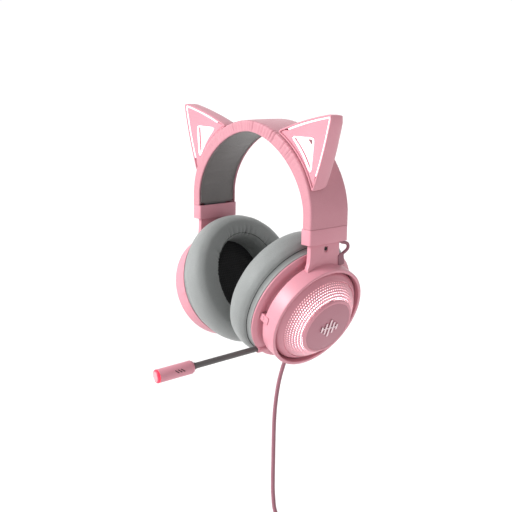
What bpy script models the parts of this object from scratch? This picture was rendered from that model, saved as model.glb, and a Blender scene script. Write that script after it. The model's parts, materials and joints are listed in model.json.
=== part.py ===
"""Over-ear gaming headset with cat ears, a slide-in microphone and a USB cord.

Lengths below are in millimetres and are turned to metres when a mesh is made. X runs through the two ear
cups (the wearer's left is +X), -Y is the front and +Z is up. Shapes are laid out on a datum at the underside
of the end caps; the finished part has its origin at the underside of the headband pad's crown, where a head
or a stand holds it up.
"""

import math

import bmesh
import bpy
from mathutils import Matrix, Vector

MM = 0.001
GAP = 0.3  # between pieces that touch
FIT = 0.35  # round a piece that moves in another

# Headband: two superellipse arcs on straight legs
BAND_WIDTH = 156.0
BAND_DEPTH = 41.2
ARC_FOOT = 22.9
OUTER_RISE = 69.8
INNER_RISE = 60.6
BAND_THICKNESS = 9.3
OUTER_POWER = 1.9
INNER_POWER = 1.78
COVER_WALL = 1.6
PAD_CROWN = 1.2
PAD_THIN = 2.3
PAD_THICK = 4.6
SPRING_THICKNESS = 1.0
SPRING_WIDTH = 20.0
SPRING_GAP = 0.4  # from the cover
ARC_STATIONS = 20

# End caps and the size sliders
CAP_HEIGHT = 12.3
CAP_THICKNESS = 11.3
CAP_WALL = 1.5
CAP_FLOOR = 2.0
CAP_CORNER = 1.6
STRIP_WIDTH = 24.0
STRIP_THICKNESS = 1.4
STRIP_BURIED = 12.6
STRIP_CLEARANCE = 0.45  # from the spring band where the strip reaches highest
SLIDER_TRAVEL = 25.0
SLIDER_KEPT = 9.0  # of the strip that stays in the band when the slider is fully out

# Yoke: a stem on a ring that carries the cup
RING_OUTER = 46.0
RING_WALL = 2.8
RING_BACK = 1.0
RING_FRONT = 15.4
RING_CLEARANCE = 1.6
STEM_THICKNESS = 4.2
STEM_FRONT = -16.8
STEM_REAR = 14.6
STEM_FLARE = 3.4
SCREW_DROP = 5.0
SCREW_HEAD = 1.45
SCREW_SHANK = 0.9
PIVOT_AT = -1.0
PIVOT_PIN = 1.5
TAB_HEIGHT = 6.0

# Jumper cable from the end cap to the yoke, as (outwards from the strip, back, up)
JUMPER_RADIUS = 1.3
JUMPER_ROUTE = (
    (0.9, 17.3, -0.4), (1.1, 18.4, -2.6), (1.5, 21.6, -4.2), (1.9, 24.8, -5.8), (2.0, 26.2, -8.8),
    (1.8, 25.6, -12.2), (1.5, 23.6, -15.4), (1.2, 22.0, -18.4), (1.0, 21.6, -21.6),
)

# Cup frame: how far its centre is inside the band's leg and below the cap, and how far its outer face looks down
CUP_INSET = 24.6
CUP_Z = -58.5
CUP_TILT = 21.08

# Cup shells, as radii and as depths along the cup's outward axis
BODY_WALL = 1.6
BODY_FRONT = 9.5
FLANGE_WIDTH = 9.9
FLANGE_BEVEL = 4.0
FLANGE_FACE = -4.0
FLANGE_EDGE = -6.8
DOME_TOP = 26.9
GRILLE_OUTSIDE = ((0.995, 11.2), (0.966, 13.0), (0.918, 13.7), (0.851, 18.2), (0.760, 22.3), (0.659, 25.3))
GRILLE_INSIDE = ((0.644, 23.9), (0.736, 21.1), (0.822, 17.3), (0.880, 12.2), (0.952, 11.3))
DIFFUSER = (
    (0.861, 12.4), (0.808, 16.6), (0.721, 20.4), (0.630, 23.2), (0.553, 24.6),
    (0.538, 23.4), (0.611, 22.1), (0.697, 19.4), (0.779, 15.9), (0.832, 12.4),
)
DISC_SHARE = 0.5625
DISC_FACE = 28.1
PLATE_THICKNESS = 1.5
PLATE_INSET = 1.3
DRIVER_RADIUS = 26.0
MAGNET_RADIUS = 14.6
LIGHT_BOARD_AT = 10.6
LIGHT_BOARD_WIDTH = 10.6

# Ear cushion: how much higher and wider than its base each row of the section is, and the row's depth
CUSHION_BACK = -9.4
CUSHION_CREST = -37.0
CUSHION_INSET = 1.1
CUSHION_ROWS = (
    (3.6, 3.2, -13.5), (6.8, 6.3, -20.0), (6.8, 6.3, -28.0), (3.6, 2.6, -34.0),
    (-1.4, -3.9, CUSHION_CREST), (-7.4, -11.9, CUSHION_CREST), (-12.1, -18.0, CUSHION_CREST + 2.6),
    (-13.7, -19.6, -29.0), (-13.7, -19.6, CUSHION_BACK),
)

# Cat ears: corners of the outline and of the hole, outwards from the band's leg and up
EAR_FRONT = -17.8
EAR_DEPTH = 13.5
EAR_WALL = 1.4
EAR_LIGHT_WIDTH = 1.2
EAR_TIP = (17.4, 102.0)
EAR_HOLE = ((-25.5, 82.2), (-3.5, 82.3), (-6.0, 58.0))
EAR_ROOT_TOP = -45.6
EAR_ROOT_SIDE = 42.4
EAR_BULGE = 1.6
EAR_HOLE_BOW = 1.5
EAR_SEAT_GAP = 0.75
EAR_STEPS = 5

# Microphone, in the cup's own axes: (towards the back, up, outwards)
MIC_ROOT_INSET = 2.525
MIC_ROOT_TURN = -130.03
MIC_OVER_CUSHION = 0.5
MIC_TOWARDS = (-0.9806, -0.148, -0.128)
MIC_BOOM_RADIUS = 2.4
MIC_BOOM_INSIDE = 14.0
MIC_BOOM_LENGTH = 62.3
MIC_CAPSULE_RADIUS = 4.6
MIC_CAPSULE_LENGTH = 29.6
MIC_LIGHT_LENGTH = 2.6
MIC_COLLAR = 1.0

# Controls on the rear of the wearer's left cup: how far inside the flange's rim, and the turn up from the back
WHEEL_INSET = 7.445
WHEEL_TURN = -19.22
WHEEL_RADIUS = 8.4
WHEEL_THICKNESS = 1.5
MUTE_INSET = 2.532
MUTE_TURN = 7.04
MUTE_RADIUS = 1.9
MUTE_TRAVEL = 0.7
CIRCUIT_RADIUS = 19.0

# USB cord, from the tip of its gland
CORD_RADIUS = 1.8
GLAND_AT = -4.7
GLAND_LENGTH = 6.5
CORD_ROUTE = (
    (-0.11, 0.0, -0.3), (-2.78, -0.1, -7.3), (-5.08, -0.4, -14.8), (-6.88, -0.9, -23.0),
    (-8.08, -1.5, -32.0), (-8.78, -2.1, -40.2), (-9.28, -2.6, -49.6), (-9.58, -2.9, -61.6),
    (-9.68, -3.0, -76.6), (-9.73, -3.0, -94.6), (-9.78, -3.0, -112.6), (-9.78, -3.0, -130.6),
    (-9.78, -3.0, -148.6), (-9.78, -3.0, -159.3),
)
COIL_CENTRE = (-9.78, -3.0, -187.6)
COIL_MIDDLE = 22.0
COIL_SECTION = 12.0
TIE_WIDTH = 11.0
TIE_THICKNESS = 1.4
TIE_TURN = 150.0
TAIL_ROUTE = ((-9.78, -9.3, -165.6), (-9.78, -11.6, -165.8), (-9.78, -14.0, -167.8), (-9.78, -14.6, -171.6))
PLUG_BODY = (15.6, 7.8, 22.0)
PLUG_SHELL = (12.0, 4.5, 11.8)

ROUND = 30  # sides of the large turned pieces
SMALL_ROUND = 16

LEG_X = BAND_WIDTH / 2
RING_INNER = RING_OUTER - RING_WALL
DATUM_DROP = ARC_FOOT + INNER_RISE - PAD_CROWN
STRIP_TOP = SLIDER_TRAVEL + SLIDER_KEPT
BAND_LEAN = LEG_X * (1.0 - (1.0 - ((STRIP_TOP - ARC_FOOT) / OUTER_RISE) ** OUTER_POWER) ** (1 / OUTER_POWER))
SPRING_INSIDE = LEG_X - COVER_WALL - SPRING_GAP - SPRING_THICKNESS - BAND_LEAN
STRIP_X = SPRING_INSIDE - STRIP_CLEARANCE - STRIP_THICKNESS / 2
CUP_X = LEG_X - CUP_INSET
BODY_RADIUS = RING_INNER - RING_CLEARANCE
FLANGE_RADIUS = BODY_RADIUS + FLANGE_WIDTH
FLANGE_FLAT = FLANGE_RADIUS - FLANGE_BEVEL
DISC_RADIUS = BODY_RADIUS * DISC_SHARE
PLATE_FRONT = FLANGE_EDGE - GAP
PLATE_BACK = PLATE_FRONT - PLATE_THICKNESS
CUSHION_BASE = FLANGE_RADIUS - CUSHION_INSET

tilt = math.radians(CUP_TILT)
CUP_AXES = Matrix((
    (0.0, math.sin(tilt), math.cos(tilt), CUP_X),
    (1.0, 0.0, 0.0, 0.0),
    (0.0, math.cos(tilt), -math.sin(tilt), CUP_Z),
    (0.0, 0.0, 0.0, 1.0),
))
FLAT = Matrix.Identity(4)


def on_flange(inset, turn):
    """A point of the flange in the cup's axes: inset from its rim, at a turn in degrees up from the back."""
    angle = math.radians(turn)
    reach = FLANGE_RADIUS - inset
    return reach * math.cos(angle), reach * math.sin(angle)


MIC_ROOT_DEPTH = CUSHION_BACK + MIC_OVER_CUSHION + MIC_BOOM_RADIUS
MIC_ROOT = (*on_flange(MIC_ROOT_INSET, MIC_ROOT_TURN), MIC_ROOT_DEPTH)
WHEEL_AT = on_flange(WHEEL_INSET, WHEEL_TURN)
MUTE_AT = on_flange(MUTE_INSET, MUTE_TURN)
GLAND_TIP = CUP_AXES @ Vector((0.0, -FLANGE_RADIUS - 0.2 - GLAND_LENGTH, GLAND_AT))


# Materials

def finish(name, colour, roughness, metallic=0.0):
    """A plain material of one colour."""
    material = bpy.data.materials.new(name)
    material.use_nodes = True
    shader = material.node_tree.nodes["Principled BSDF"]
    shader.inputs["Base Color"].default_value = (*colour, 1.0)
    shader.inputs["Roughness"].default_value = roughness
    shader.inputs["Metallic"].default_value = metallic
    return material


def make_finishes():
    return {
        "pink_plastic": finish("pink_plastic", (0.78, 0.40, 0.46), 0.45),
        "pink_leatherette": finish("pink_leatherette", (0.76, 0.40, 0.46), 0.6),
        "grey_leatherette": finish("grey_leatherette", (0.30, 0.30, 0.30), 0.7),
        "clear_light": finish("clear_light", (0.95, 0.90, 0.91), 0.3),
        "red_light": finish("red_light", (0.95, 0.12, 0.16), 0.3),
        "steel": finish("steel", (0.62, 0.62, 0.64), 0.35, 1.0),
        "silver": finish("silver", (0.80, 0.78, 0.79), 0.3, 1.0),
        "board": finish("board", (0.90, 0.90, 0.88), 0.5),
        "black_plastic": finish("black_plastic", (0.03, 0.03, 0.03), 0.5),
        "black_cloth": finish("black_cloth", (0.02, 0.02, 0.02), 0.9),
        "grey_rubber": finish("grey_rubber", (0.14, 0.13, 0.13), 0.7),
        "cord_jacket": finish("cord_jacket", (0.42, 0.22, 0.26), 0.55),
        "film": finish("film", (0.75, 0.72, 0.62), 0.4),
    }


# Meshes

def make_object(name, bm, material):
    """An object from a bmesh in millimetres on the cap datum, with its faces pointing outwards."""
    bmesh.ops.recalc_face_normals(bm, faces=bm.faces)
    bm.transform(Matrix.Scale(MM, 4) @ Matrix.Translation((0.0, 0.0, -DATUM_DROP)))
    mesh = bpy.data.meshes.new(name)
    bm.to_mesh(mesh)
    bm.free()
    mesh.materials.append(material)
    obj = bpy.data.objects.new(name, mesh)
    bpy.context.scene.collection.objects.link(obj)
    return obj


def smooth(obj, angle=35.0):
    """Shades round faces smooth and keeps edges sharper than angle."""
    obj.data.shade_smooth()
    obj.data.set_sharp_from_angle(angle=math.radians(angle))
    return obj


def loft(loops, closed, axes=FLAT):
    """A bmesh that joins loops of equally many points, end to end or with flat ends."""
    bm = bmesh.new()
    rows = [[bm.verts.new(axes @ Vector(point)) for point in loop] for loop in loops]
    count = len(rows[0])
    pairs = list(zip(rows, rows[1:] + rows[:1])) if closed else list(zip(rows, rows[1:]))
    for first, second in pairs:
        for i in range(count):
            j = (i + 1) % count
            bm.faces.new((first[i], first[j], second[j], second[i]))
    if not closed:
        bm.faces.new(rows[0])
        bm.faces.new(rows[-1])
    return bm


def turned_ring(profile, axes, steps=ROUND):
    """A ring turned about the cup's axis from a closed outline of (radius, depth), with flats front and back."""
    loops = []
    for i in range(steps):
        turn = math.tau * (i + 0.5) / steps
        loops.append([(r * math.cos(turn), r * math.sin(turn), s) for r, s in profile])
    return loft(loops, True, axes)


def turned_solid(profile, axes, steps=ROUND):
    """A solid turned about the axis; the profile starts and ends at radius zero."""
    bm = bmesh.new()
    top = bm.verts.new(axes @ Vector((0.0, 0.0, profile[0][1])))
    bottom = bm.verts.new(axes @ Vector((0.0, 0.0, profile[-1][1])))
    rows = []
    for r, s in profile[1:-1]:
        angles = (math.tau * i / steps for i in range(steps))
        rows.append([bm.verts.new(axes @ Vector((r * math.cos(a), r * math.sin(a), s))) for a in angles])
    for i in range(steps):
        j = (i + 1) % steps
        bm.faces.new((top, rows[0][i], rows[0][j]))
        for first, second in zip(rows, rows[1:]):
            bm.faces.new((first[i], second[i], second[j], first[j]))
        bm.faces.new((bottom, rows[-1][j], rows[-1][i]))
    return bm


def block(low, high, axes=FLAT):
    """A box between two corners."""
    loops = []
    for z in (low[2], high[2]):
        loops.append([(low[0], low[1], z), (high[0], low[1], z), (high[0], high[1], z), (low[0], high[1], z)])
    return loft(loops, False, axes)


def rod_axes(start, towards):
    """Axes with the origin at start and +Z along towards."""
    turn = Vector(towards).to_track_quat("Z", "Y").to_matrix().to_4x4()
    return Matrix.Translation(start) @ turn


def rod(start, towards, radii, axes=FLAT, steps=SMALL_ROUND):
    """A round bar along towards, from (radius, distance) pairs."""
    profile = [(0.0, radii[0][1]), *radii, (0.0, radii[-1][1])]
    return turned_solid(profile, axes @ rod_axes(start, towards), steps)


def combine(obj, tool_bm, operation):
    """Joins a bmesh to an object, or cuts it out of the object."""
    tool = make_object("tool", tool_bm, obj.data.materials[0])
    modifier = obj.modifiers.new("combine", "BOOLEAN")
    modifier.operation = operation
    modifier.solver = "EXACT"
    modifier.object = tool
    graph = bpy.context.evaluated_depsgraph_get()
    joined = bpy.data.meshes.new_from_object(obj.evaluated_get(graph))
    obj.modifiers.clear()
    obj.data = joined
    bpy.data.objects.remove(tool)
    return obj


def cut(obj, tool_bm):
    return combine(obj, tool_bm, "DIFFERENCE")


def join(obj, tool_bm):
    return combine(obj, tool_bm, "UNION")


def taken(obj):
    """The object's mesh as a bmesh in millimetres on the cap datum; the object is removed."""
    bm = bmesh.new()
    bm.from_mesh(obj.data)
    bm.transform(Matrix.Translation((0.0, 0.0, DATUM_DROP)) @ Matrix.Scale(1 / MM, 4))
    bpy.data.objects.remove(obj)
    return bm


def mirrored(obj, name):
    """The same piece on the wearer's right."""
    bm = bmesh.new()
    bm.from_mesh(obj.data)
    bm.transform(Matrix.Scale(-1.0, 4, (1.0, 0.0, 0.0)))
    bmesh.ops.reverse_faces(bm, faces=bm.faces)
    mesh = bpy.data.meshes.new(name)
    bm.to_mesh(mesh)
    bm.free()
    mesh.materials.append(obj.data.materials[0])
    copy = bpy.data.objects.new(name, mesh)
    bpy.context.scene.collection.objects.link(copy)
    return copy


def pair(obj):
    """Names a left piece and adds its mirror image on the right."""
    name = obj.name
    obj.name = f"left_{name}"
    return obj, mirrored(obj, f"right_{name}")


def set_origin(obj, point):
    """Moves the object's origin to a point on the cap datum, with the mesh left where it is."""
    place = Vector(point) * MM - Vector((0.0, 0.0, DATUM_DROP * MM))
    obj.data.transform(Matrix.Translation(-place))
    obj.location = place


# Headband

def arc(turn, width, rise, power):
    """A point of one band arc; turn runs from 0 at the right leg to pi at the left one."""
    side, height = math.cos(turn), math.sin(turn)
    x = -width / 2 * math.copysign(abs(side) ** (2 / power), side)
    return Vector((x, 0.0, ARC_FOOT + rise * max(height, 0.0) ** (2 / power)))


def band_stations(low):
    """Outer and inner points of the band from one leg's foot over the crown to the other's."""
    inner_width = BAND_WIDTH - 2 * BAND_THICKNESS
    turns = [math.pi * i / ARC_STATIONS for i in range(ARC_STATIONS + 1)]
    over = [(arc(t, BAND_WIDTH, OUTER_RISE, OUTER_POWER), arc(t, inner_width, INNER_RISE, INNER_POWER))
            for t in turns]
    foot = [(Vector((p.x, 0.0, low)), Vector((q.x, 0.0, low))) for p, q in (over[0], over[-1])]
    return [foot[0], *over, foot[1]]


def band_sweep(section, low):
    """Sweeps a section of (depth from outside, across) along the band; section is given the band thickness."""
    loops = []
    for outer, inner in band_stations(low):
        inward = (inner - outer).normalized()
        thickness = (inner - outer).length
        loops.append([outer + inward * d + Vector((0.0, y, 0.0)) for d, y in section(thickness, outer)])
    return loft(loops, False)


def cover_section(thickness, _outer):
    half, wall, edge = BAND_DEPTH / 2, COVER_WALL, 1.2
    return [
        (0.0, -half + edge), (0.0, half - edge), (edge, half), (thickness, half), (thickness, half - wall),
        (wall, half - wall), (wall, wall - half), (thickness, wall - half), (thickness, -half), (edge, -half),
    ]


def spring_section(_thickness, _outer):
    low = COVER_WALL + SPRING_GAP
    high, half = low + SPRING_THICKNESS, SPRING_WIDTH / 2
    return [(low, -half), (low, half), (high, half), (high, -half)]


def pad_section(thickness, outer):
    half = BAND_DEPTH / 2 - COVER_WALL - GAP
    rise = min(max((outer.z - STRIP_TOP - 4.0) / 18.0, 0.0), 1.0)
    top = thickness - PAD_THIN - (PAD_THICK - PAD_THIN) * rise
    crown = thickness + PAD_CROWN * rise
    return [(top, -half), (top, half), (thickness - 0.2, half), (crown - 0.3 * rise, half - 7.0),
            (crown, 0.0), (crown - 0.3 * rise, 7.0 - half), (thickness - 0.2, -half)]


def make_headband(finishes):
    low = CAP_HEIGHT + GAP
    smooth(make_object("headband_cover", band_sweep(cover_section, low), finishes["pink_leatherette"]))
    smooth(make_object("headband_spring", band_sweep(spring_section, CAP_FLOOR + 1.0), finishes["steel"]))
    smooth(make_object("headband_pad", band_sweep(pad_section, low), finishes["grey_leatherette"]))


# End caps, sliders and their screws

def make_end_caps(finishes):
    outer, inner, half = LEG_X, LEG_X - CAP_THICKNESS, BAND_DEPTH / 2
    cap = make_object("end_cap", rounded_block(inner, outer, half, CAP_CORNER, 0.0, CAP_HEIGHT),
                      finishes["pink_plastic"])
    cut(cap, rounded_block(inner + CAP_WALL, outer - CAP_WALL, half - CAP_WALL, 0.4, CAP_FLOOR, CAP_HEIGHT + 5.0))
    reach_x, reach_y = STRIP_THICKNESS / 2 + FIT, STRIP_WIDTH / 2 + FIT
    cut(cap, block((STRIP_X - reach_x, -reach_y, -5.0), (STRIP_X + reach_x, reach_y, CAP_FLOOR + 5.0)))
    entry_x, entry_y, _ = JUMPER_ROUTE[0]
    hole = JUMPER_RADIUS + FIT
    cut(cap, rod((STRIP_X + entry_x, entry_y, -5.0), (0, 0, 1), ((hole, 0.0), (hole, CAP_FLOOR + 8.0))))
    pair(cap)


def rounded_block(x_low, x_high, half, corner, low, high):
    """An upright block with rounded vertical edges."""
    centres = [(x_high - corner, half - corner, 0), (x_low + corner, half - corner, 90),
               (x_low + corner, corner - half, 180), (x_high - corner, corner - half, 270)]
    outline = []
    for x, y, start in centres:
        for step in range(4):
            turn = math.radians(start + 30 * step)
            outline.append((x + corner * math.cos(turn), y + corner * math.sin(turn)))
    return loft([[(x, y, z) for x, y in outline] for z in (low, high)], False)


def make_sliders(finishes):
    half_x, half_y = STRIP_THICKNESS / 2, STRIP_WIDTH / 2
    strip = make_object("slider_strip", block((STRIP_X - half_x, -half_y, -STRIP_BURIED),
                                              (STRIP_X + half_x, half_y, STRIP_TOP)), finishes["steel"])
    hole = SCREW_SHANK + FIT
    cut(strip, rod((STRIP_X - 3.0, 0.0, -SCREW_DROP), (1, 0, 0), ((hole, 0.0), (hole, 6.0)), steps=12))
    pair(strip)
    head = STRIP_X + STEM_THICKNESS / 2 - 0.2
    shoulder = head - 0.7
    tip = STRIP_X - half_x - GAP
    radii = ((SCREW_SHANK, tip), (SCREW_SHANK, shoulder), (SCREW_HEAD, shoulder), (SCREW_HEAD, head))
    screw = make_object("slider_screw", rod((0.0, 0.0, -SCREW_DROP), (1, 0, 0), radii, steps=12),
                        finishes["steel"])
    pair(screw)


# Yoke

def make_yokes(finishes):
    ring = [
        (RING_INNER, RING_BACK + 0.6), (RING_INNER + 0.6, RING_BACK), (RING_OUTER - 0.6, RING_BACK),
        (RING_OUTER, RING_BACK + 0.6), (RING_OUTER, RING_FRONT - 1.0), (RING_OUTER - 0.9, RING_FRONT),
        (RING_INNER + 0.8, RING_FRONT), (RING_INNER, RING_FRONT - 0.8),
    ]
    yoke = make_object("yoke", turned_ring(ring, CUP_AXES, 32), finishes["pink_plastic"])
    x_low, x_high = STRIP_X - STEM_THICKNESS / 2, STRIP_X + STEM_THICKNESS / 2
    front, rear, flare, low = STEM_FRONT, STEM_REAR, STEM_FLARE, -30.0
    outline = [(front, -0.4), (front - 0.3, -9.0), (front - 0.4 * flare, -14.0), (front - flare, -18.5),
               (front - flare, low), (rear + flare, low), (rear + flare, -18.5), (rear + 0.4 * flare, -14.0),
               (rear + 0.3, -9.0), (rear, -0.4)]
    stem = make_object("stem", loft([[(x, y, z) for y, z in outline] for x in (x_low, x_high)], False),
                       finishes["pink_plastic"])
    inside = RING_INNER + RING_WALL / 2
    cut(stem, turned_solid(((0.0, -20.0), (inside, -20.0), (inside, 40.0), (0.0, 40.0)), CUP_AXES, 32))
    join(yoke, taken(stem))
    for side in (-1, 1):
        near, far = side * (RING_INNER + 0.5), side * (RING_OUTER + 0.6)
        corners = (min(near, far), -TAB_HEIGHT / 2, PIVOT_AT - 2.4), (max(near, far), TAB_HEIGHT / 2, 4.0)
        join(yoke, block(*corners, CUP_AXES))
    bore = PIVOT_PIN + FIT
    reach = RING_OUTER + 5.0
    cut(yoke, rod((-reach, 0.0, PIVOT_AT), (1, 0, 0), ((bore, 0.0), (bore, 2 * reach)), CUP_AXES))
    pocket_x, pocket_y = STRIP_THICKNESS / 2 + GAP, STRIP_WIDTH / 2 + GAP
    cut(yoke, block((STRIP_X - pocket_x, -pocket_y, -STRIP_BURIED - GAP), (STRIP_X + pocket_x, pocket_y, 5.0)))
    head = SCREW_HEAD + GAP
    cut(yoke, rod((STRIP_X, 0.0, -SCREW_DROP), (1, 0, 0), ((head, 0.0), (head, 8.0)), steps=12))
    for side, obj in zip((1, -1), pair(smooth(yoke))):
        set_origin(obj, (side * STRIP_X, 0.0, 0.0))


# Cords

def smooth_route(route, spacing):
    """Points about spacing apart on a smooth curve through a route."""
    ends = [2 * Vector(route[0]) - Vector(route[1]), 2 * Vector(route[-1]) - Vector(route[-2])]
    knots = [ends[0], *(Vector(p) for p in route), ends[1]]
    points = []
    for a, b, c, d in zip(knots, knots[1:], knots[2:], knots[3:]):
        steps = max(1, round((c - b).length / spacing))
        for i in range(steps):
            t = i / steps
            points.append(0.5 * (2 * b + (c - a) * t + (2 * a - 5 * b + 4 * c - d) * t ** 2
                                 + (3 * b - a - 3 * c + d) * t ** 3))
    return [*points, knots[-2]]


def tube(name, route, radius, material, spacing, start, side=1):
    """A round cord of one radius along a route whose points count from start, on the cap datum."""
    curve = bpy.data.curves.new(name, "CURVE")
    curve.dimensions = "3D"
    curve.bevel_depth = radius * MM
    curve.bevel_resolution = 2
    curve.use_fill_caps = True
    points = smooth_route(route, spacing)
    spline = curve.splines.new("POLY")
    spline.points.add(len(points) - 1)
    for slot, point in zip(spline.points, points):
        place = (point + start - Vector((0.0, 0.0, DATUM_DROP))) * MM
        slot.co = (side * place.x, place.y, place.z, 1.0)
    curve.materials.append(material)
    obj = bpy.data.objects.new(name, curve)
    bpy.context.scene.collection.objects.link(obj)
    return obj


def make_jumpers(finishes):
    for name, side in (("left_jumper_cable", 1), ("right_jumper_cable", -1)):
        tube(name, JUMPER_ROUTE, JUMPER_RADIUS, finishes["cord_jacket"], 4.0, Vector((STRIP_X, 0.0, 0.0)), side)


# Cup shells

def mic_axes():
    """The microphone's axes: its origin where the boom leaves the cup, and +Z along the boom."""
    return CUP_AXES @ rod_axes(MIC_ROOT, MIC_TOWARDS)


def mic_rod(radius, low, high):
    """A round bar along the microphone's axis."""
    return turned_solid(((0.0, low), (radius, low), (radius, high), (0.0, high)), mic_axes(), SMALL_ROUND)


def make_cup_base(finishes, controls):
    """The cup's inner housing; controls adds what only the wearer's left cup has."""
    wall = BODY_WALL
    inner = BODY_RADIUS - wall
    profile = [
        (FLANGE_RADIUS, FLANGE_EDGE), (FLANGE_RADIUS, FLANGE_EDGE + 1.4), (FLANGE_FLAT, FLANGE_FACE),
        (BODY_RADIUS + 0.5, FLANGE_FACE), (BODY_RADIUS, FLANGE_FACE + 0.5), (BODY_RADIUS, BODY_FRONT),
        (inner, BODY_FRONT), (inner, FLANGE_FACE - wall), (FLANGE_FLAT - 0.5, FLANGE_FACE - wall),
        (FLANGE_RADIUS - wall, FLANGE_EDGE + 0.5), (FLANGE_RADIUS - wall, FLANGE_EDGE),
    ]
    base = make_object("cup_base", turned_ring(profile, CUP_AXES), finishes["pink_plastic"])
    for side in (-1, 1):
        pin = ((PIVOT_PIN, 0.0), (PIVOT_PIN, RING_OUTER - inner))
        join(base, rod((side * (inner + 0.4), 0.0, PIVOT_AT), (side, 0, 0), pin, CUP_AXES))
    if controls:
        collar = MIC_BOOM_RADIUS + FIT + MIC_COLLAR
        guide = make_object("guide", mic_rod(collar, -12.0, 4.0), finishes["pink_plastic"])
        wide = FLANGE_RADIUS + 10.0
        cut(guide, block((-wide, -wide, PLATE_BACK - 12.0), (wide, wide, PLATE_BACK + 0.4), CUP_AXES))
        join(base, taken(guide))
        cut(base, mic_rod(MIC_BOOM_RADIUS + FIT, -24.0, 12.0))
        reach = WHEEL_RADIUS + 0.8
        window = rod_axes((*WHEEL_AT, FLANGE_EDGE - 2.0), (0, 0, 1))
        slot = 2.0 + GAP + WHEEL_THICKNESS + FIT
        cut(base, turned_solid(((0.0, 0.0), (reach, 0.0), (reach, slot), (0.0, slot)), CUP_AXES @ window, 20))
        hole = MUTE_RADIUS + FIT
        cut(base, rod((*MUTE_AT, -9.0), (0, 0, 1), ((hole, 0.0), (hole, 9.0)), CUP_AXES))
        gland = CORD_RADIUS + FIT
        cut(base, rod((0.0, -inner + 2.0, GLAND_AT), (0, -1, 0), ((gland, 0.0), (gland, 20.0)), CUP_AXES))
    return smooth(base)


def on_body(shares):
    """A profile whose radii are shares of the body's radius, in millimetres."""
    return [(share * BODY_RADIUS, depth) for share, depth in shares]


def grille_profile():
    """The outline of the perforated outer shell, from its skirt over the dome and back inside."""
    skirt, hole = BODY_FRONT + GAP, DISC_RADIUS + GAP
    return [
        (BODY_RADIUS, skirt), *on_body(GRILLE_OUTSIDE), (hole, DOME_TOP),
        (hole, DOME_TOP - 1.5), *on_body(GRILLE_INSIDE), (BODY_RADIUS - BODY_WALL - 0.2, skirt),
    ]


def make_cup_shells(finishes):
    left = make_cup_base(finishes, True)
    left.name = "left_cup_base"
    right = make_cup_base(finishes, False)
    plain = mirrored(right, "right_cup_base")
    bpy.data.objects.remove(right)
    pivot = CUP_AXES @ Vector((0.0, 0.0, PIVOT_AT))
    set_origin(left, pivot)
    set_origin(plain, (-pivot.x, pivot.y, pivot.z))
    pair(smooth(make_object("cup_grille", turned_ring(grille_profile(), CUP_AXES), finishes["pink_plastic"])))
    pair(smooth(make_object("light_diffuser", turned_ring(on_body(DIFFUSER), CUP_AXES, 24),
                            finishes["clear_light"])))
    low, high = LIGHT_BOARD_AT, LIGHT_BOARD_AT + 1.2
    rim = BODY_RADIUS * DIFFUSER[0][0] - 0.2
    board = [(rim - LIGHT_BOARD_WIDTH, low), (rim, low), (rim, high), (rim - LIGHT_BOARD_WIDTH, high)]
    pair(make_object("light_board", turned_ring(board, CUP_AXES, 24), finishes["board"]))
    back = DISC_FACE - 2.5
    disc = [(0.0, back), (DISC_RADIUS - 0.8, back), (DISC_RADIUS, back + 0.8), (DISC_RADIUS, DISC_FACE - 0.8),
            (DISC_RADIUS - 0.8, DISC_FACE), (DISC_RADIUS * 0.6, DISC_FACE + 0.4), (0.0, DISC_FACE + 0.6)]
    pair(smooth(make_object("cup_disc", turned_solid(disc, CUP_AXES), finishes["pink_plastic"])))
    pair(make_emblem(finishes))


def make_emblem(finishes):
    """A plain sound-level motif: five upright bars on one cross bar."""
    low, high = DISC_FACE + 0.95, DISC_FACE + 1.45
    bar = block((-8.5, -0.5, low + 0.1), (8.5, 0.5, high - 0.1), CUP_AXES)
    emblem = make_object("cup_emblem", bar, finishes["silver"])
    for place, half in ((-8.0, 2.6), (-4.0, 5.2), (0.0, 8.0), (4.0, 5.2), (8.0, 2.6)):
        join(emblem, block((place - 0.9, -half, low), (place + 0.9, half, high), CUP_AXES))
    return emblem


# Driver, baffle plate and cushion

def make_drivers(finishes):
    hole, rim = DRIVER_RADIUS + FIT, FLANGE_RADIUS - PLATE_INSET
    plate = [(hole, PLATE_BACK), (rim, PLATE_BACK), (rim, PLATE_FRONT), (hole, PLATE_FRONT)]
    left = make_object("left_cushion_plate", turned_ring(plate, CUP_AXES, 28), finishes["black_plastic"])
    mirrored(left, "right_cushion_plate")
    cut(left, mic_rod(MIC_BOOM_RADIUS + FIT, -24.0, 12.0))
    cut(left, mic_rod(MIC_BOOM_RADIUS + FIT + MIC_COLLAR + GAP, -12.0 - GAP, 12.0))
    edge, rim = DRIVER_RADIUS, PLATE_FRONT + 0.2
    seat = MAGNET_RADIUS + 0.4
    frame = [(edge, rim - 1.7), (edge, rim), (edge - 2.4, rim), (edge - 4.4, -2.0), (seat, -2.0),
             (seat, -3.2), (edge - 5.4, -3.2), (edge - 3.4, rim - 1.7)]
    pair(smooth(make_object("driver_frame", turned_ring(frame, CUP_AXES, 24), finishes["black_plastic"])))
    magnet = [(0.0, -4.2), (MAGNET_RADIUS, -4.2), (MAGNET_RADIUS, 3.0), (0.0, 3.0)]
    pair(smooth(make_object("driver_magnet", turned_solid(magnet, CUP_AXES, 24), finishes["steel"])))
    edge -= 4.4
    film = [(0.0, -5.4), (8.0, -6.2), (16.0, -5.8), (edge, -7.7), (edge, -8.1), (16.0, -6.2), (8.0, -6.6),
            (0.0, -5.8)]
    pair(smooth(make_object("driver_diaphragm", turned_solid(film, CUP_AXES, 24), finishes["film"])))


def oval(half_height, half_width, depth, steps=28):
    """Points of an oval about the cup's axis."""
    turns = (math.tau * i / steps for i in range(steps))
    return [(half_width * math.cos(t), half_height * math.sin(t), depth) for t in turns]


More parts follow.
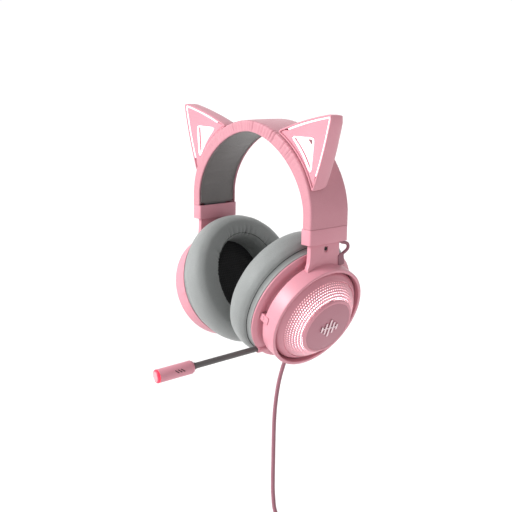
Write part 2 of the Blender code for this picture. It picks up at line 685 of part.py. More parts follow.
def make_cushions(finishes):
    base = CUSHION_BASE
    rows = [oval(base, base, CUSHION_BACK)]
    rows += [oval(base + higher, base + wider, depth) for higher, wider, depth in CUSHION_ROWS]
    cushion = make_object("ear_cushion", loft(rows, True, CUP_AXES), finishes["grey_leatherette"])
    pair(smooth(cushion, 60.0))
    higher, wider, _ = CUSHION_ROWS[-1]
    high, wide = base + higher - 2 * GAP, base + wider - 2 * GAP
    cloth = [oval(high, wide, depth) for depth in (PLATE_BACK - GAP, PLATE_BACK - 3 * GAP)]
    pair(make_object("ear_cloth", loft(cloth, False, CUP_AXES), finishes["black_cloth"]))


# Cat ears

def curved_edge(start, end, bulge, steps):
    """Points from start up to end, bowed sideways by bulge in the middle."""
    a, b = Vector(start), Vector(end)
    side = Vector((b.y - a.y, a.x - b.x)).normalized()
    return [a.lerp(b, i / steps) - side * bulge * math.sin(math.pi * i / steps) for i in range(steps)]


def ear_outlines():
    """The outer outline and the hole's outline, as paired points in X and Z."""
    power = OUTER_POWER / 2
    top_turn = math.acos((1.0 + EAR_ROOT_TOP / LEG_X) ** power)
    side_turn = math.asin(((EAR_ROOT_SIDE - ARC_FOOT) / OUTER_RISE) ** power)
    seat = []
    for i in range(EAR_STEPS + 1):
        turn = side_turn + (top_turn - side_turn) * i / EAR_STEPS
        on_band = arc(math.pi - turn, BAND_WIDTH, OUTER_RISE, OUTER_POWER)
        seat.append(Vector((on_band.x, on_band.z)) + EAR_SEAT_GAP * Vector((math.cos(turn), math.sin(turn))))
    tip, *corners = (Vector((LEG_X + outwards, up)) for outwards, up in (EAR_TIP, *EAR_HOLE))
    outer = curved_edge(seat[-1], tip, EAR_BULGE, EAR_STEPS)
    outer += curved_edge(tip, seat[0], EAR_BULGE, EAR_STEPS)
    outer += seat[:-1]
    first, tip, last = corners
    hole = curved_edge(first, tip, 0.0, EAR_STEPS) + curved_edge(tip, last, 0.0, EAR_STEPS)
    hole += curved_edge(last, first, -EAR_HOLE_BOW, EAR_STEPS)
    return outer, hole


def inset_outline(points, distance):
    """An outline moved inwards by distance, with its corners mitred."""
    moved = []
    for before, here, after in zip(points[-1:] + points[:-1], points, points[1:] + points[:1]):
        first, second = (here - before).normalized(), (after - here).normalized()
        normals = Vector((first.y, -first.x)), Vector((second.y, -second.x))
        middle = (normals[0] + normals[1]).normalized()
        moved.append(here + middle * distance / max(middle.dot(normals[0]), 0.45))
    return moved


def ear_row(outline, depth):
    return [(p.x, EAR_FRONT + depth, p.y) for p in outline]


def between(first, second, share):
    return [a.lerp(b, share) for a, b in zip(first, second)]


def make_ears(finishes):
    outer, hole = ear_outlines()
    wall = EAR_WALL
    lining = inset_outline(hole, -1.7)
    inner = inset_outline(outer, wall)
    deep = EAR_DEPTH
    shell = [
        ear_row(outer, 0.0), ear_row(outer, deep * 0.33), ear_row(inset_outline(outer, 0.9), deep * 0.62),
        ear_row(between(outer, lining, 0.34), deep * 0.9), ear_row(between(outer, lining, 0.7), deep),
        ear_row(lining, deep * 0.94), ear_row(lining, deep * 0.94 - wall),
        ear_row(between(outer, lining, 0.7), deep - wall), ear_row(between(inner, lining, 0.36), deep * 0.9 - wall),
        ear_row(inset_outline(inner, 0.7), deep * 0.55), ear_row(inner, deep * 0.3), ear_row(inner, 0.0),
    ]
    pair(smooth(make_object("ear_shell", loft(shell, True), finishes["pink_plastic"])))
    light_out = inset_outline(outer, wall + GAP)
    light_in = inset_outline(outer, wall + GAP + EAR_LIGHT_WIDTH)
    span = slice(1, 2 * EAR_STEPS)
    strip = []
    for near, far in list(zip(light_out, light_in))[span]:
        strip.append([(p.x, EAR_FRONT + d, p.y) for p, d in ((near, -0.1), (near, 2.2), (far, 2.2), (far, -0.1))])
    pair(make_object("ear_outer_light", loft(strip, False), finishes["clear_light"]))
    panel_out = [
        p if 0 < i < 2 * EAR_STEPS else q
        for i, (p, q) in enumerate(zip(inset_outline(outer, wall + 2 * GAP + EAR_LIGHT_WIDTH),
                                       inset_outline(outer, wall + GAP)))
    ]
    panel_in = inset_outline(hole, -1.4 - GAP)
    panel = [ear_row(panel_out, 0.5), ear_row(panel_out, 1.8), ear_row(panel_in, 1.8), ear_row(panel_in, 0.5)]
    pair(make_object("ear_face", loft(panel, True), finishes["pink_plastic"]))
    sleeve_out = inset_outline(hole, -1.3)
    sleeve = [ear_row(hole, 0.2), ear_row(hole, deep * 0.9), ear_row(sleeve_out, deep * 0.9),
              ear_row(sleeve_out, 0.2)]
    pair(make_object("ear_inner_light", loft(sleeve, True), finishes["clear_light"]))
    board_out = between(inner, lining, 0.5)
    board = [ear_row(board_out, 4.6), ear_row(board_out, 5.6), ear_row(inset_outline(hole, -2.2), 5.6),
             ear_row(inset_outline(hole, -2.2), 4.6)]
    pair(make_object("ear_led_board", loft(board, True), finishes["board"]))


# Controls, microphone and cord

def make_controls(finishes):
    board = [(0.0, 5.4), (CIRCUIT_RADIUS, 5.4), (CIRCUIT_RADIUS, 6.8), (0.0, 6.8)]
    make_object("circuit_board", turned_solid(board, CUP_AXES, 20), finishes["board"])
    low = FLANGE_EDGE + GAP
    high = low + WHEEL_THICKNESS
    wheel = turned_solid(((0.0, low), (WHEEL_RADIUS, low), (WHEEL_RADIUS, high), (0.0, high)),
                         CUP_AXES @ rod_axes((*WHEEL_AT, 0.0), (0, 0, 1)), 24)
    wheel = smooth(make_object("volume_wheel", wheel, finishes["black_plastic"]))
    set_origin(wheel, CUP_AXES @ Vector((*WHEEL_AT, low)))
    face = FLANGE_FACE + MUTE_TRAVEL + 0.2
    radii = ((MUTE_RADIUS, face - 2.4), (MUTE_RADIUS, face - 0.3), (MUTE_RADIUS - 0.3, face))
    mute = smooth(make_object("mute_button", rod((*MUTE_AT, 0.0), (0, 0, 1), radii, CUP_AXES),
                              finishes["black_plastic"]))
    set_origin(mute, CUP_AXES @ Vector((*MUTE_AT, face)))
    skirt = FLANGE_RADIUS + 0.2
    radii = ((CORD_RADIUS, -3.2), (CORD_RADIUS, GAP), (2.5, GAP), (2.1, GLAND_LENGTH))
    gland = rod((0.0, -skirt, GLAND_AT), (0, -1, 0), radii, CUP_AXES)
    smooth(make_object("cord_gland", gland, finishes["cord_jacket"]))


def make_microphone(finishes):
    axes = mic_axes()
    steps = 20
    end = MIC_BOOM_LENGTH
    boom = turned_solid(((0.0, -MIC_BOOM_INSIDE), (MIC_BOOM_RADIUS, -MIC_BOOM_INSIDE), (MIC_BOOM_RADIUS, end),
                         (0.0, end)), axes, SMALL_ROUND)
    boom = smooth(make_object("mic_boom", boom, finishes["grey_rubber"]))
    low = end + GAP
    high = low + MIC_CAPSULE_LENGTH
    wide = MIC_CAPSULE_RADIUS
    capsule = turned_solid(((0.0, low), (wide - 1.2, low), (wide, low + 1.6), (wide, high), (0.0, high)),
                           axes, steps)
    smooth(make_object("mic_capsule", capsule, finishes["pink_plastic"]))
    low, high = high + GAP, high + GAP + MIC_LIGHT_LENGTH
    light = turned_solid(((0.0, low), (wide - 0.1, low), (wide - 0.1, high - 0.9), (wide - 1.1, high),
                          (0.0, high + 0.2)), axes, steps)
    smooth(make_object("mic_light", light, finishes["red_light"]))
    set_origin(boom, CUP_AXES @ Vector(MIC_ROOT))


def make_cord(finishes):
    jacket = finishes["cord_jacket"]
    tube("usb_cord", CORD_ROUTE, CORD_RADIUS, jacket, 4.4, GLAND_TIP)
    tube("usb_cord_tail", TAIL_ROUTE, CORD_RADIUS, jacket, 4.0, GLAND_TIP)
    upright = Matrix.Rotation(math.radians(90), 4, "X")
    coil_axes = Matrix.Translation(Vector(COIL_CENTRE) + GLAND_TIP) @ upright
    half = COIL_SECTION / 2

    def section(grown):
        wide, edge = half + grown, half + grown - 2.0
        return [(COIL_MIDDLE - wide, -edge), (COIL_MIDDLE - edge, -wide), (COIL_MIDDLE + edge, -wide),
                (COIL_MIDDLE + wide, -edge), (COIL_MIDDLE + wide, edge), (COIL_MIDDLE + edge, wide),
                (COIL_MIDDLE - edge, wide), (COIL_MIDDLE - wide, edge)]

    smooth(make_object("usb_cord_coil", turned_ring(section(0.0), coil_axes, 28), jacket))
    around = coil_axes @ Matrix.Rotation(math.radians(TIE_TURN), 4, "Z")
    reach = half + GAP + TIE_THICKNESS
    tie = block((COIL_MIDDLE - reach, -TIE_WIDTH / 2, -reach), (COIL_MIDDLE + reach, TIE_WIDTH / 2, reach), around)
    tie = make_object("usb_cord_tie", tie, finishes["black_cloth"])
    cut(tie, turned_ring(section(GAP), coil_axes, 28))
    wide, thick, tall = PLUG_BODY
    end = Vector(TAIL_ROUTE[-1]) + GLAND_TIP - Vector((0.0, 0.0, GAP))
    low = end.z - tall
    body = block((end.x - wide / 2, end.y - thick / 2, low), (end.x + wide / 2, end.y + thick / 2, end.z))
    body = make_object("usb_plug_body", body, jacket)
    bevel = body.modifiers.new("edges", "BEVEL")
    bevel.width = 1.6 * MM
    bevel.segments = 2
    wide, thick, tall = PLUG_SHELL
    shell = block((end.x - wide / 2, end.y - thick / 2, low - GAP - tall),
                  (end.x + wide / 2, end.y + thick / 2, low - GAP))
    shell = make_object("usb_plug_shell", shell, finishes["steel"])
    wall = 0.4
    cut(shell, block((end.x - wide / 2 + wall, end.y - thick / 2 + wall, low - GAP - tall - 3.0),
                     (end.x + wide / 2 - wall, end.y + thick / 2 - wall, low - GAP - 1.0)))


def main():
    for obj in list(bpy.data.objects):
        bpy.data.objects.remove(obj)
    finishes = make_finishes()
    make_headband(finishes)
    make_end_caps(finishes)
    make_sliders(finishes)
    make_yokes(finishes)
    make_jumpers(finishes)
    make_cup_shells(finishes)
    make_drivers(finishes)
    make_cushions(finishes)
    make_ears(finishes)
    make_controls(finishes)
    make_microphone(finishes)
    make_cord(finishes)


main()
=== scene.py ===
"""Looks of an over-ear gaming headset with lit cat ears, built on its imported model.

Sizes are in millimetres. X runs through both ear cups, with the wearer's left at +X. -Y is the front and
+Z is up. Each cup's pieces are made on the wearer's left and mirrored to the right.
"""

import json
import logging
import math
from collections.abc import Callable, Iterator, Sequence
from contextlib import contextmanager
from dataclasses import dataclass, field
from enum import Enum

import bpy
from mathutils import Matrix, Vector, noise


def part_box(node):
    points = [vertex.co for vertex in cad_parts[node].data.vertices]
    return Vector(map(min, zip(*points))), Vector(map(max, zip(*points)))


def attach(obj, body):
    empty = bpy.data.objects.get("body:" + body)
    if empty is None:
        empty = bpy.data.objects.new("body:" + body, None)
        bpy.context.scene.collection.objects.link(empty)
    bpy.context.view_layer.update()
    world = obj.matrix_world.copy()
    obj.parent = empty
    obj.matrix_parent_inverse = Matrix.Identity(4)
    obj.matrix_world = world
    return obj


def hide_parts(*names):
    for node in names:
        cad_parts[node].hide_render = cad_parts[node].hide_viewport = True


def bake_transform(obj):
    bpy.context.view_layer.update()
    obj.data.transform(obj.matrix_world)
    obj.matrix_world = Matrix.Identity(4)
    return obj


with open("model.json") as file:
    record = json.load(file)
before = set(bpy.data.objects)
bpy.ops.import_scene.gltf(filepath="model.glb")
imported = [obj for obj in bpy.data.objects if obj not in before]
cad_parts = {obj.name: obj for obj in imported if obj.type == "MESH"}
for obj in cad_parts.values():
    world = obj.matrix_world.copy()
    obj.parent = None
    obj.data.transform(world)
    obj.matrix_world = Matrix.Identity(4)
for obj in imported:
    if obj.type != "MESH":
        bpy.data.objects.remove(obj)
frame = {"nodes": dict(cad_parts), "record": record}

MM = 0.001
LOG = logging.getLogger("headset")
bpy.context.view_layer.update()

WELD = 0.005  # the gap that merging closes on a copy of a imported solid, in millimetres
FLAT = 0.5  # the turn below which two triangles of such a copy are one face, in degrees
WAVE_PACE = math.pi / 20  # the scale at which a wave texture has one band, light or dark, to a unit
PUFF_FRAMES = 20

Outline = list[tuple[float, float]]
Loop = list[Vector]
Place = Callable[[float, float], Vector]
Station = tuple[Vector, Vector, float, float]
Shape = Callable[[float, float, float, float], tuple[float, float]]


class Side(Enum):
    """The wearer's two sides."""

    LEFT = "left"
    RIGHT = "right"


# Finishes

def linear(code: str) -> tuple[float, float, float, float]:
    """Turns an sRGB hex value to linear colour.

    Args:
        code: A value such as "#F0A0B0".

    Returns:
        Red, green, blue and alpha.
    """
    parts = [int(code[i:i + 2], 16) / 255 for i in (1, 3, 5)]
    red, green, blue = (c / 12.92 if c <= 0.04045 else ((c + 0.055) / 1.055) ** 2.4 for c in parts)
    return red, green, blue, 1.0


def per_mm(size: float) -> float:
    """Returns the texture scale whose pattern repeats about every size millimetres."""
    return 1.0 / (size * MM)


def add_node(tree: bpy.types.NodeTree, kind: str, settings: dict | None = None, values: dict | None = None,
             links: dict | None = None) -> bpy.types.Node:
    """Adds a node with its settings and links.

    Args:
        tree: The material's node tree.
        kind: The node's type name.
        settings: The node's own properties.
        values: Input sockets and their values.
        links: Input sockets and the output sockets that feed them.

    Returns:
        The new node.
    """
    node = tree.nodes.new(kind)
    for name, value in (settings or {}).items():
        setattr(node, name, value)
    for socket, value in (values or {}).items():
        node.inputs[socket].default_value = value
    for socket, source in (links or {}).items():
        tree.links.new(source, node.inputs[socket])
    return node


@dataclass(frozen=True)
class Finish:
    """What a surface is made of: its name, colour and gloss."""

    name: str
    colour: str
    roughness: float

    def material(self) -> bpy.types.Material:
        """Makes the material on first use.

        Returns:
            The material, with this finish's nodes.
        """
        found = bpy.data.materials.get(self.name)
        if found:
            return found
        material = bpy.data.materials.new(self.name)
        material.use_nodes = True
        tree = material.node_tree
        shader = tree.nodes["Principled BSDF"]
        shader.inputs["Base Color"].default_value = linear(self.colour)
        shader.inputs["Roughness"].default_value = self.roughness
        place = tree.nodes.new("ShaderNodeTexCoord").outputs["Object"]
        self.dress(tree, shader, place)
        return material

    def dress(self, tree: bpy.types.NodeTree, shader: bpy.types.Node, place: bpy.types.NodeSocket) -> None:
        """Adds this finish's own nodes.

        Args:
            tree: The material's node tree.
            shader: Its main shader.
            place: The point on the piece, in metres.
        """

    def tint(self, tree: bpy.types.NodeTree, shader: bpy.types.Node, amount: bpy.types.NodeSocket,
             other: str) -> None:
        """Mixes the finish's colour with another one by amount."""
        mix = add_node(tree, "ShaderNodeMix", {"data_type": "RGBA"},
                       {"A": linear(self.colour), "B": linear(other)},
                       {"Factor": amount})
        tree.links.new(mix.outputs["Result"], shader.inputs["Base Color"])

    def rough(self, tree: bpy.types.NodeTree, shader: bpy.types.Node, amount: bpy.types.NodeSocket,
              spread: float) -> None:
        """Varies the roughness by spread each way."""
        levels = add_node(tree, "ShaderNodeMapRange", None,
                          {"To Min": self.roughness - spread, "To Max": self.roughness + spread},
                          {"Value": amount})
        tree.links.new(levels.outputs["Result"], shader.inputs["Roughness"])


def add_bump(tree: bpy.types.NodeTree, shader: bpy.types.Node, height: bpy.types.NodeSocket, depth: float,
             strength: float = 1.0) -> None:
    """Raises the surface by height, depth millimetres from its lowest to its highest."""
    bump = add_node(tree, "ShaderNodeBump", None, {"Strength": strength, "Distance": depth * MM},
                    {"Height": height})
    tree.links.new(bump.outputs["Normal"], shader.inputs["Normal"])


@dataclass(frozen=True)
class MouldedPlastic(Finish):
    """Injection-moulded ABS: a fine spark-eroded grain that breaks up its highlights."""

    shade: str = "#E08FA0"
    grain: float = 0.45  # drawn coarser than the real 0.1 mm so that it shows
    depth: float = 0.02
    patch: float = 38.0

    def dress(self, tree: bpy.types.NodeTree, shader: bpy.types.Node, place: bpy.types.NodeSocket) -> None:
        """Adds the grain, a faint drift of colour and soft patches of gloss."""
        grain = add_node(tree, "ShaderNodeTexNoise", None, {"Scale": per_mm(self.grain), "Detail": 3.0},
                         {"Vector": place})
        drift = add_node(tree, "ShaderNodeTexNoise", None, {"Scale": per_mm(self.patch), "Detail": 2.0},
                         {"Vector": place})
        share = add_node(tree, "ShaderNodeMapRange", None,
                         {"From Min": 0.35, "From Max": 0.75, "To Max": 0.35},
                         {"Value": drift.outputs["Fac"]})
        self.tint(tree, shader, share.outputs["Result"], self.shade)
        self.rough(tree, shader, grain.outputs["Fac"], 0.06)
        add_bump(tree, shader, grain.outputs["Fac"], self.depth)
        shader.inputs["Subsurface Weight"].default_value = 0.06
        shader.inputs["Subsurface Radius"].default_value = (0.002, 0.001, 0.001)


@dataclass(frozen=True)
class Leatherette(Finish):
    """Synthetic leather: pebbled grain pressed into a soft skin, with painted shade in the creases between
    its pebbles.
    """

    shade: str = "#8A8A8A"
    pebble: float = 1.1
    depth: float = 0.11
    bloom: float = 0.25
    pore: float = 0.5
    wander: float = 3.0
    patch: float = 24.0

    def dress(self, tree: bpy.types.NodeTree, shader: bpy.types.Node, place: bpy.types.NodeSocket) -> None:
        """Adds pebbles, fine pores, a broad drift from handling and painted shade in the creases between the
        pebbles.
        """
        warp = add_node(tree, "ShaderNodeTexNoise", None, {"Scale": per_mm(self.wander), "Detail": 2.0},
                        {"Vector": place})
        moved = add_node(tree, "ShaderNodeVectorMath", {"operation": "MULTIPLY_ADD"}, {1: (0.0006,) * 3},
                         {0: warp.outputs["Color"], 2: place})
        cells = add_node(tree, "ShaderNodeTexVoronoi", {"feature": "DISTANCE_TO_EDGE"},
                         {"Scale": per_mm(self.pebble)}, {"Vector": moved.outputs["Vector"]})
        domes = add_node(tree, "ShaderNodeMapRange", {"interpolation_type": "SMOOTHSTEP"},
                         {"From Max": 0.16}, {"Value": cells.outputs["Distance"]})
        pores = add_node(tree, "ShaderNodeTexNoise", None, {"Scale": per_mm(self.pore), "Detail": 3.0},
                         {"Vector": place})
        height = add_node(tree, "ShaderNodeMath", {"operation": "MULTIPLY_ADD"}, {1: 0.35},
                          {0: pores.outputs["Fac"], 2: domes.outputs["Result"]})
        drift = add_node(tree, "ShaderNodeTexNoise", None, {"Scale": per_mm(self.patch), "Detail": 3.0},
                         {"Vector": place})
        share = add_node(tree, "ShaderNodeMapRange", None, {"From Min": 0.3, "From Max": 0.8, "To Max": 0.5},
                         {"Value": drift.outputs["Fac"]})
        # painted shade: the creases between the pebbles are mixed towards the shade colour, darkest at the
        # cell edges
        crease = add_node(tree, "ShaderNodeMapRange", None, {"To Min": 0.5, "To Max": 0.0},
                          {"Value": domes.outputs["Result"]})
        both = add_node(tree, "ShaderNodeMath", {"operation": "MAXIMUM"}, None,
                        {0: share.outputs["Result"], 1: crease.outputs["Result"]})
        self.tint(tree, shader, both.outputs["Value"], self.shade)
        self.rough(tree, shader, drift.outputs["Fac"], 0.08)
        add_bump(tree, shader, height.outputs["Value"], self.depth, 0.8)
        shader.inputs["Sheen Weight"].default_value = self.bloom
        shader.inputs["Sheen Roughness"].default_value = 0.4


@dataclass(frozen=True)
class WovenCloth(Finish):
    """Plain woven polyester: threads over and under each other, matt."""

    shade: str = "#3A3A3C"
    thread: float = 1.0  # drawn coarser than the real 0.4 mm so that it shows

    def dress(self, tree: bpy.types.NodeTree, shader: bpy.types.Node, place: bpy.types.NodeSocket) -> None:
        """Adds two sets of crossing threads."""
        threads = [
            add_node(tree, "ShaderNodeTexWave", {"bands_direction": axis},
                     {"Scale": per_mm(self.thread) * WAVE_PACE, "Distortion": 0.4}, {"Vector": place})
            for axis in ("Y", "Z")
        ]
        weave = add_node(tree, "ShaderNodeMath", {"operation": "MULTIPLY"}, None,
                         {0: threads[0].outputs["Fac"], 1: threads[1].outputs["Fac"]})
        self.tint(tree, shader, weave.outputs["Value"], self.shade)
        add_bump(tree, shader, weave.outputs["Value"], 0.25)
        shader.inputs["Sheen Weight"].default_value = 0.3


@dataclass(frozen=True)
class SoftRubber(Finish):
    """Extruded thermoplastic rubber: matt, with faint drag lines and dust."""

    shade: str = "#4A4646"
    depth: float = 0.03
    tooth: float = 0.6
    smudge: float = 9.0

    def dress(self, tree: bpy.types.NodeTree, shader: bpy.types.Node, place: bpy.types.NodeSocket) -> None:
        """Adds a fine tooth and soft smudges."""
        tooth = add_node(tree, "ShaderNodeTexNoise", None, {"Scale": per_mm(self.tooth), "Detail": 4.0},
                         {"Vector": place})
        smudge = add_node(tree, "ShaderNodeTexNoise", None, {"Scale": per_mm(self.smudge), "Detail": 3.0},
                          {"Vector": place})
        self.tint(tree, shader, smudge.outputs["Fac"], self.shade)
        self.rough(tree, shader, smudge.outputs["Fac"], 0.08)
        add_bump(tree, shader, tooth.outputs["Fac"], self.depth)


@dataclass(frozen=True)
class LightGuide(Finish):
    """Milky polycarbonate with lamps behind it: it glows, a little uneven between the lamps."""

    strength: float = 1.0
    pitch: float = 9.0

    def dress(self, tree: bpy.types.NodeTree, shader: bpy.types.Node, place: bpy.types.NodeSocket) -> None:
        """Adds the glow, which dips a little from lamp to lamp."""
        lamps = add_node(tree, "ShaderNodeTexNoise", None, {"Scale": per_mm(self.pitch), "Detail": 1.0},
                         {"Vector": place})
        level = add_node(tree, "ShaderNodeMapRange", None,
                         {"From Min": 0.3, "From Max": 0.7, "To Min": self.strength * 0.85,
                          "To Max": self.strength},
                         {"Value": lamps.outputs["Fac"]})
        tree.links.new(level.outputs["Result"], shader.inputs["Emission Strength"])
        shader.inputs["Emission Color"].default_value = linear(self.colour)


@dataclass(frozen=True)
class RadialGlow(LightGuide):
    """A light guide round a cup's axis: bright near the axis and fading to its edge."""

    bright: float = 25.0
    dim: float = 34.5
    least: float = 0.03

    def dress(self, tree: bpy.types.NodeTree, shader: bpy.types.Node, place: bpy.types.NodeSocket) -> None:
        """Adds a glow that falls off with the distance from the cup's axis, alike on both cups."""
        super().dress(tree, shader, place)
        axes = find_cup_axes()
        folded = add_node(tree, "ShaderNodeVectorMath", {"operation": "ABSOLUTE"}, None, {0: place})
        parts = [add_node(tree, "ShaderNodeSeparateXYZ", None, None, {"Vector": source})
                 for source in (folded.outputs["Vector"], place)]
        mirrored_place = add_node(tree, "ShaderNodeCombineXYZ", None, None,
                                  {"X": parts[0].outputs["X"], "Y": parts[1].outputs["Y"],
                                   "Z": parts[1].outputs["Z"]})
        offset = add_node(tree, "ShaderNodeVectorMath", {"operation": "SUBTRACT"}, {1: axes.translation},
                          {0: mirrored_place.outputs["Vector"]})
        across = add_node(tree, "ShaderNodeVectorMath", {"operation": "CROSS_PRODUCT"},
                          {1: axes.to_3x3().col[2].normalized()}, {0: offset.outputs["Vector"]})
        size = add_node(tree, "ShaderNodeVectorMath", {"operation": "LENGTH"}, None,
                        {0: across.outputs["Vector"]})
        fall = add_node(tree, "ShaderNodeMapRange", {"interpolation_type": "SMOOTHSTEP"},
                        {"From Min": self.bright * MM, "From Max": self.dim * MM, "To Min": 1.0,
                         "To Max": self.least},
                        {"Value": size.outputs["Value"]})
        level = shader.inputs["Emission Strength"].links[0].from_socket
        both = add_node(tree, "ShaderNodeMath", {"operation": "MULTIPLY"}, None,
                        {0: level, 1: fall.outputs["Result"]})
        tree.links.new(both.outputs["Value"], shader.inputs["Emission Strength"])


@dataclass(frozen=True)
class Metal(Finish):
    """Rolled or plated metal with fine lines from its finishing."""

    shade: str = "#8C8C90"
    lines: tuple[float, float, float] = (0.2, 6.0, 0.2)

    def dress(self, tree: bpy.types.NodeTree, shader: bpy.types.Node, place: bpy.types.NodeSocket) -> None:
        """Adds the lines and soft stains."""
        along = add_node(tree, "ShaderNodeMapping", None,
                         {"Scale": tuple(per_mm(size) for size in self.lines)},
                         {"Vector": place})
        lines = add_node(tree, "ShaderNodeTexNoise", None, {"Scale": 1.0, "Detail": 2.0},
                         {"Vector": along.outputs["Vector"]})
        self.tint(tree, shader, lines.outputs["Fac"], self.shade)
        self.rough(tree, shader, lines.outputs["Fac"], 0.1)
        add_bump(tree, shader, lines.outputs["Fac"], 0.01)
        shader.inputs["Metallic"].default_value = 1.0


@dataclass(frozen=True)
class CircuitBoard(Finish):
    """White solder mask over copper: faint raised tracks and tinned pads."""

    shade: str = "#B9C4B4"
    track: float = 4.0

    def dress(self, tree: bpy.types.NodeTree, shader: bpy.types.Node, place: bpy.types.NodeSocket) -> None:
        """Adds the tracks and the pads."""
        tracks = add_node(tree, "ShaderNodeTexBrick", {"offset": 0.5},
                          {"Scale": per_mm(self.track), "Mortar Size": 0.05, "Color1": (0.0,) * 4,
                           "Color2": (0.1,) * 4,
                           "Mortar": (1.0,) * 4}, {"Vector": place})
        self.tint(tree, shader, tracks.outputs["Color"], self.shade)
        add_bump(tree, shader, tracks.outputs["Fac"], 0.05)


PINK_SHELL = MouldedPlastic("moulded_pink_abs", "#CF8D9A", 0.42, "#C67F8D")
PINK_DOME = RadialGlow("lit_pale_pink_abs", "#D298A4", 0.38, strength=0.22, dim=33.0)
DUSKY_DISC = MouldedPlastic("moulded_dusky_pink_abs", "#AF7481", 0.34, "#A66B78")
BLACK_SHELL = MouldedPlastic("moulded_black_abs", "#232325", 0.5, "#2C2C2E")
PINK_SKIN = Leatherette("pink_polyurethane_leather", "#C98995", 0.5, "#B97784", pebble=1.0, depth=0.08)
GREY_SKIN = Leatherette("grey_protein_leather", "#8E9190", 0.52, "#7D807F")
LINING_SKIN = Leatherette("dark_grey_protein_leather", "#716D6C", 0.5, "#605C5B")
EAR_CLOTH = WovenCloth("black_woven_polyester", "#161618", 0.9, "#2A2A2C")
TIE_CLOTH = WovenCloth("black_hook_and_loop_tape", "#222224", 0.95, thread=1.6)
GREY_RUBBER = SoftRubber("grey_thermoplastic_rubber", "#5E5A5A", 0.5, "#524E4E")
SEAM_THREAD = SoftRubber("grey_sewing_thread", "#323433", 0.7, "#2A2C2B", depth=0.08)
LIGHT_THREAD = SoftRubber("pale_sewing_thread", "#A39698", 0.7, "#948789", depth=0.08)
DARK_RUBBER = SoftRubber("dark_moulded_rubber", "#3A2E31", 0.6, "#44373A")
CORD_JACKET = SoftRubber("dusky_pink_pvc_jacket", "#96626F", 0.45, "#8A5764")
WHITE_GLOW = LightGuide("lit_white_polycarbonate", "#FFE9EC", 0.4, strength=1.0)
DOME_GLOW = RadialGlow("lit_milky_polycarbonate", "#FFE6EA", 0.4, strength=6.0, pitch=16.0, dim=36.0)
RED_GLOW = LightGuide("lit_red_polycarbonate", "#F02C45", 0.35, strength=1.1, pitch=3.0)
PALE_RED = LightGuide("lit_pale_red_polycarbonate", "#E58A92", 0.4, strength=0.3, pitch=3.0)
STEEL = Metal("rolled_steel", "#A8A8AC", 0.34)
BLACKENED = Metal("blackened_steel", "#3A3235", 0.4, "#2C2628")
PLATED = Metal("plated_silver_pink", "#E8D2D6", 0.3, "#DDC2C8", (0.3, 0.3, 4.0))
WHITE_BOARD = CircuitBoard("white_solder_mask", "#D9D9D2", 0.5)
WHITE_FLOOR = SoftRubber("white_painted_floor", "#FBFBFB", 0.8, "#F7F7F7")
CLEAR_FILM = MouldedPlastic("formed_mylar_film", "#B9B090", 0.3, "#ADA482", grain=1.5)


# Bench tools

def deselect() -> None:
    """Deselects every object."""
    bpy.ops.object.select_all(action="DESELECT")


def activate(obj: bpy.types.Object) -> bpy.types.Object:
    """Selects one object alone and returns it."""
    deselect()
    obj.select_set(True)
    bpy.context.view_layer.objects.active = obj
    return obj


@contextmanager
def edit_mode(obj: bpy.types.Object, whole: bool = True) -> Iterator[None]:
    """Opens an object's mesh for editing.

    Args:
        obj: The object.
        whole: Selects all of it; otherwise what was selected stays so.
    """
    activate(obj)
    bpy.ops.object.mode_set(mode="EDIT")
    if whole:
        bpy.ops.mesh.select_all(action="SELECT")
    yield
    bpy.ops.object.mode_set(mode="OBJECT")


def tidy_mesh(obj: bpy.types.Object, gap: float = 0.002) -> bpy.types.Object:
    """Merges a piece's close points, drops what collapsed and points its faces outwards.

    Args:
        obj: The piece.
        gap: How close, in millimetres.

    Returns:
        The piece.
    """
    with edit_mode(obj):
        bpy.ops.mesh.remove_doubles(threshold=gap * MM)
        bpy.ops.mesh.dissolve_degenerate(threshold=gap * MM)
        bpy.ops.mesh.select_all(action="SELECT")
        bpy.ops.mesh.normals_make_consistent(inside=False)
    return obj


def apply_modifier(obj: bpy.types.Object, kind: str, **settings: object) -> bpy.types.Object:
    """Adds a modifier and applies it.

    Args:
        obj: The piece.
        kind: The modifier's type name.
        settings: Its properties.

    Returns:
        The piece.
    """
    activate(obj)
    modifier = obj.modifiers.new(kind.lower(), kind)
    for name, value in settings.items():
        setattr(modifier, name, value)
    bpy.ops.object.modifier_apply(modifier=modifier.name)
    return obj


def soften(obj: bpy.types.Object, width: float, segments: int = 2, angle: float = 30.0) -> bpy.types.Object:
    """Bevels the edges sharper than angle."""
    return apply_modifier(obj, "BEVEL", width=width * MM, segments=segments, limit_method="ANGLE",
                          angle_limit=math.radians(angle), harden_normals=False)


def shade(obj: bpy.types.Object, angle: float = 35.0) -> bpy.types.Object:
    """Shades smooth, keeping edges sharper than angle."""
    activate(obj)
    bpy.ops.object.shade_smooth_by_angle(angle=math.radians(angle))
    return obj


def rounded(points: Sequence[tuple[float, float]], radius: float, steps: int = 4) -> Outline:
    """Rounds each corner of a closed outline.

    Args:
        points: The outline's corners.
        radius: How far from its corner each rounding starts, less where an edge is short.
        steps: Points per corner, less one.

    Returns:
        The rounded outline.
    """
    outline: Outline = []
    corners = [Vector(p) for p in points]
    for before, here, after in zip(corners[-1:] + corners[:-1], corners, corners[1:] + corners[:1]):
        first, second = before - here, after - here
        reach = min(radius, 0.45 * first.length, 0.45 * second.length)
        start, end = here + first.normalized() * reach, here + second.normalized() * reach
        for i in range(steps + 1):
            t = i / steps
            point = start.lerp(here, t).lerp(here.lerp(end, t), t)
            outline.append((point.x, point.y))
    return outline


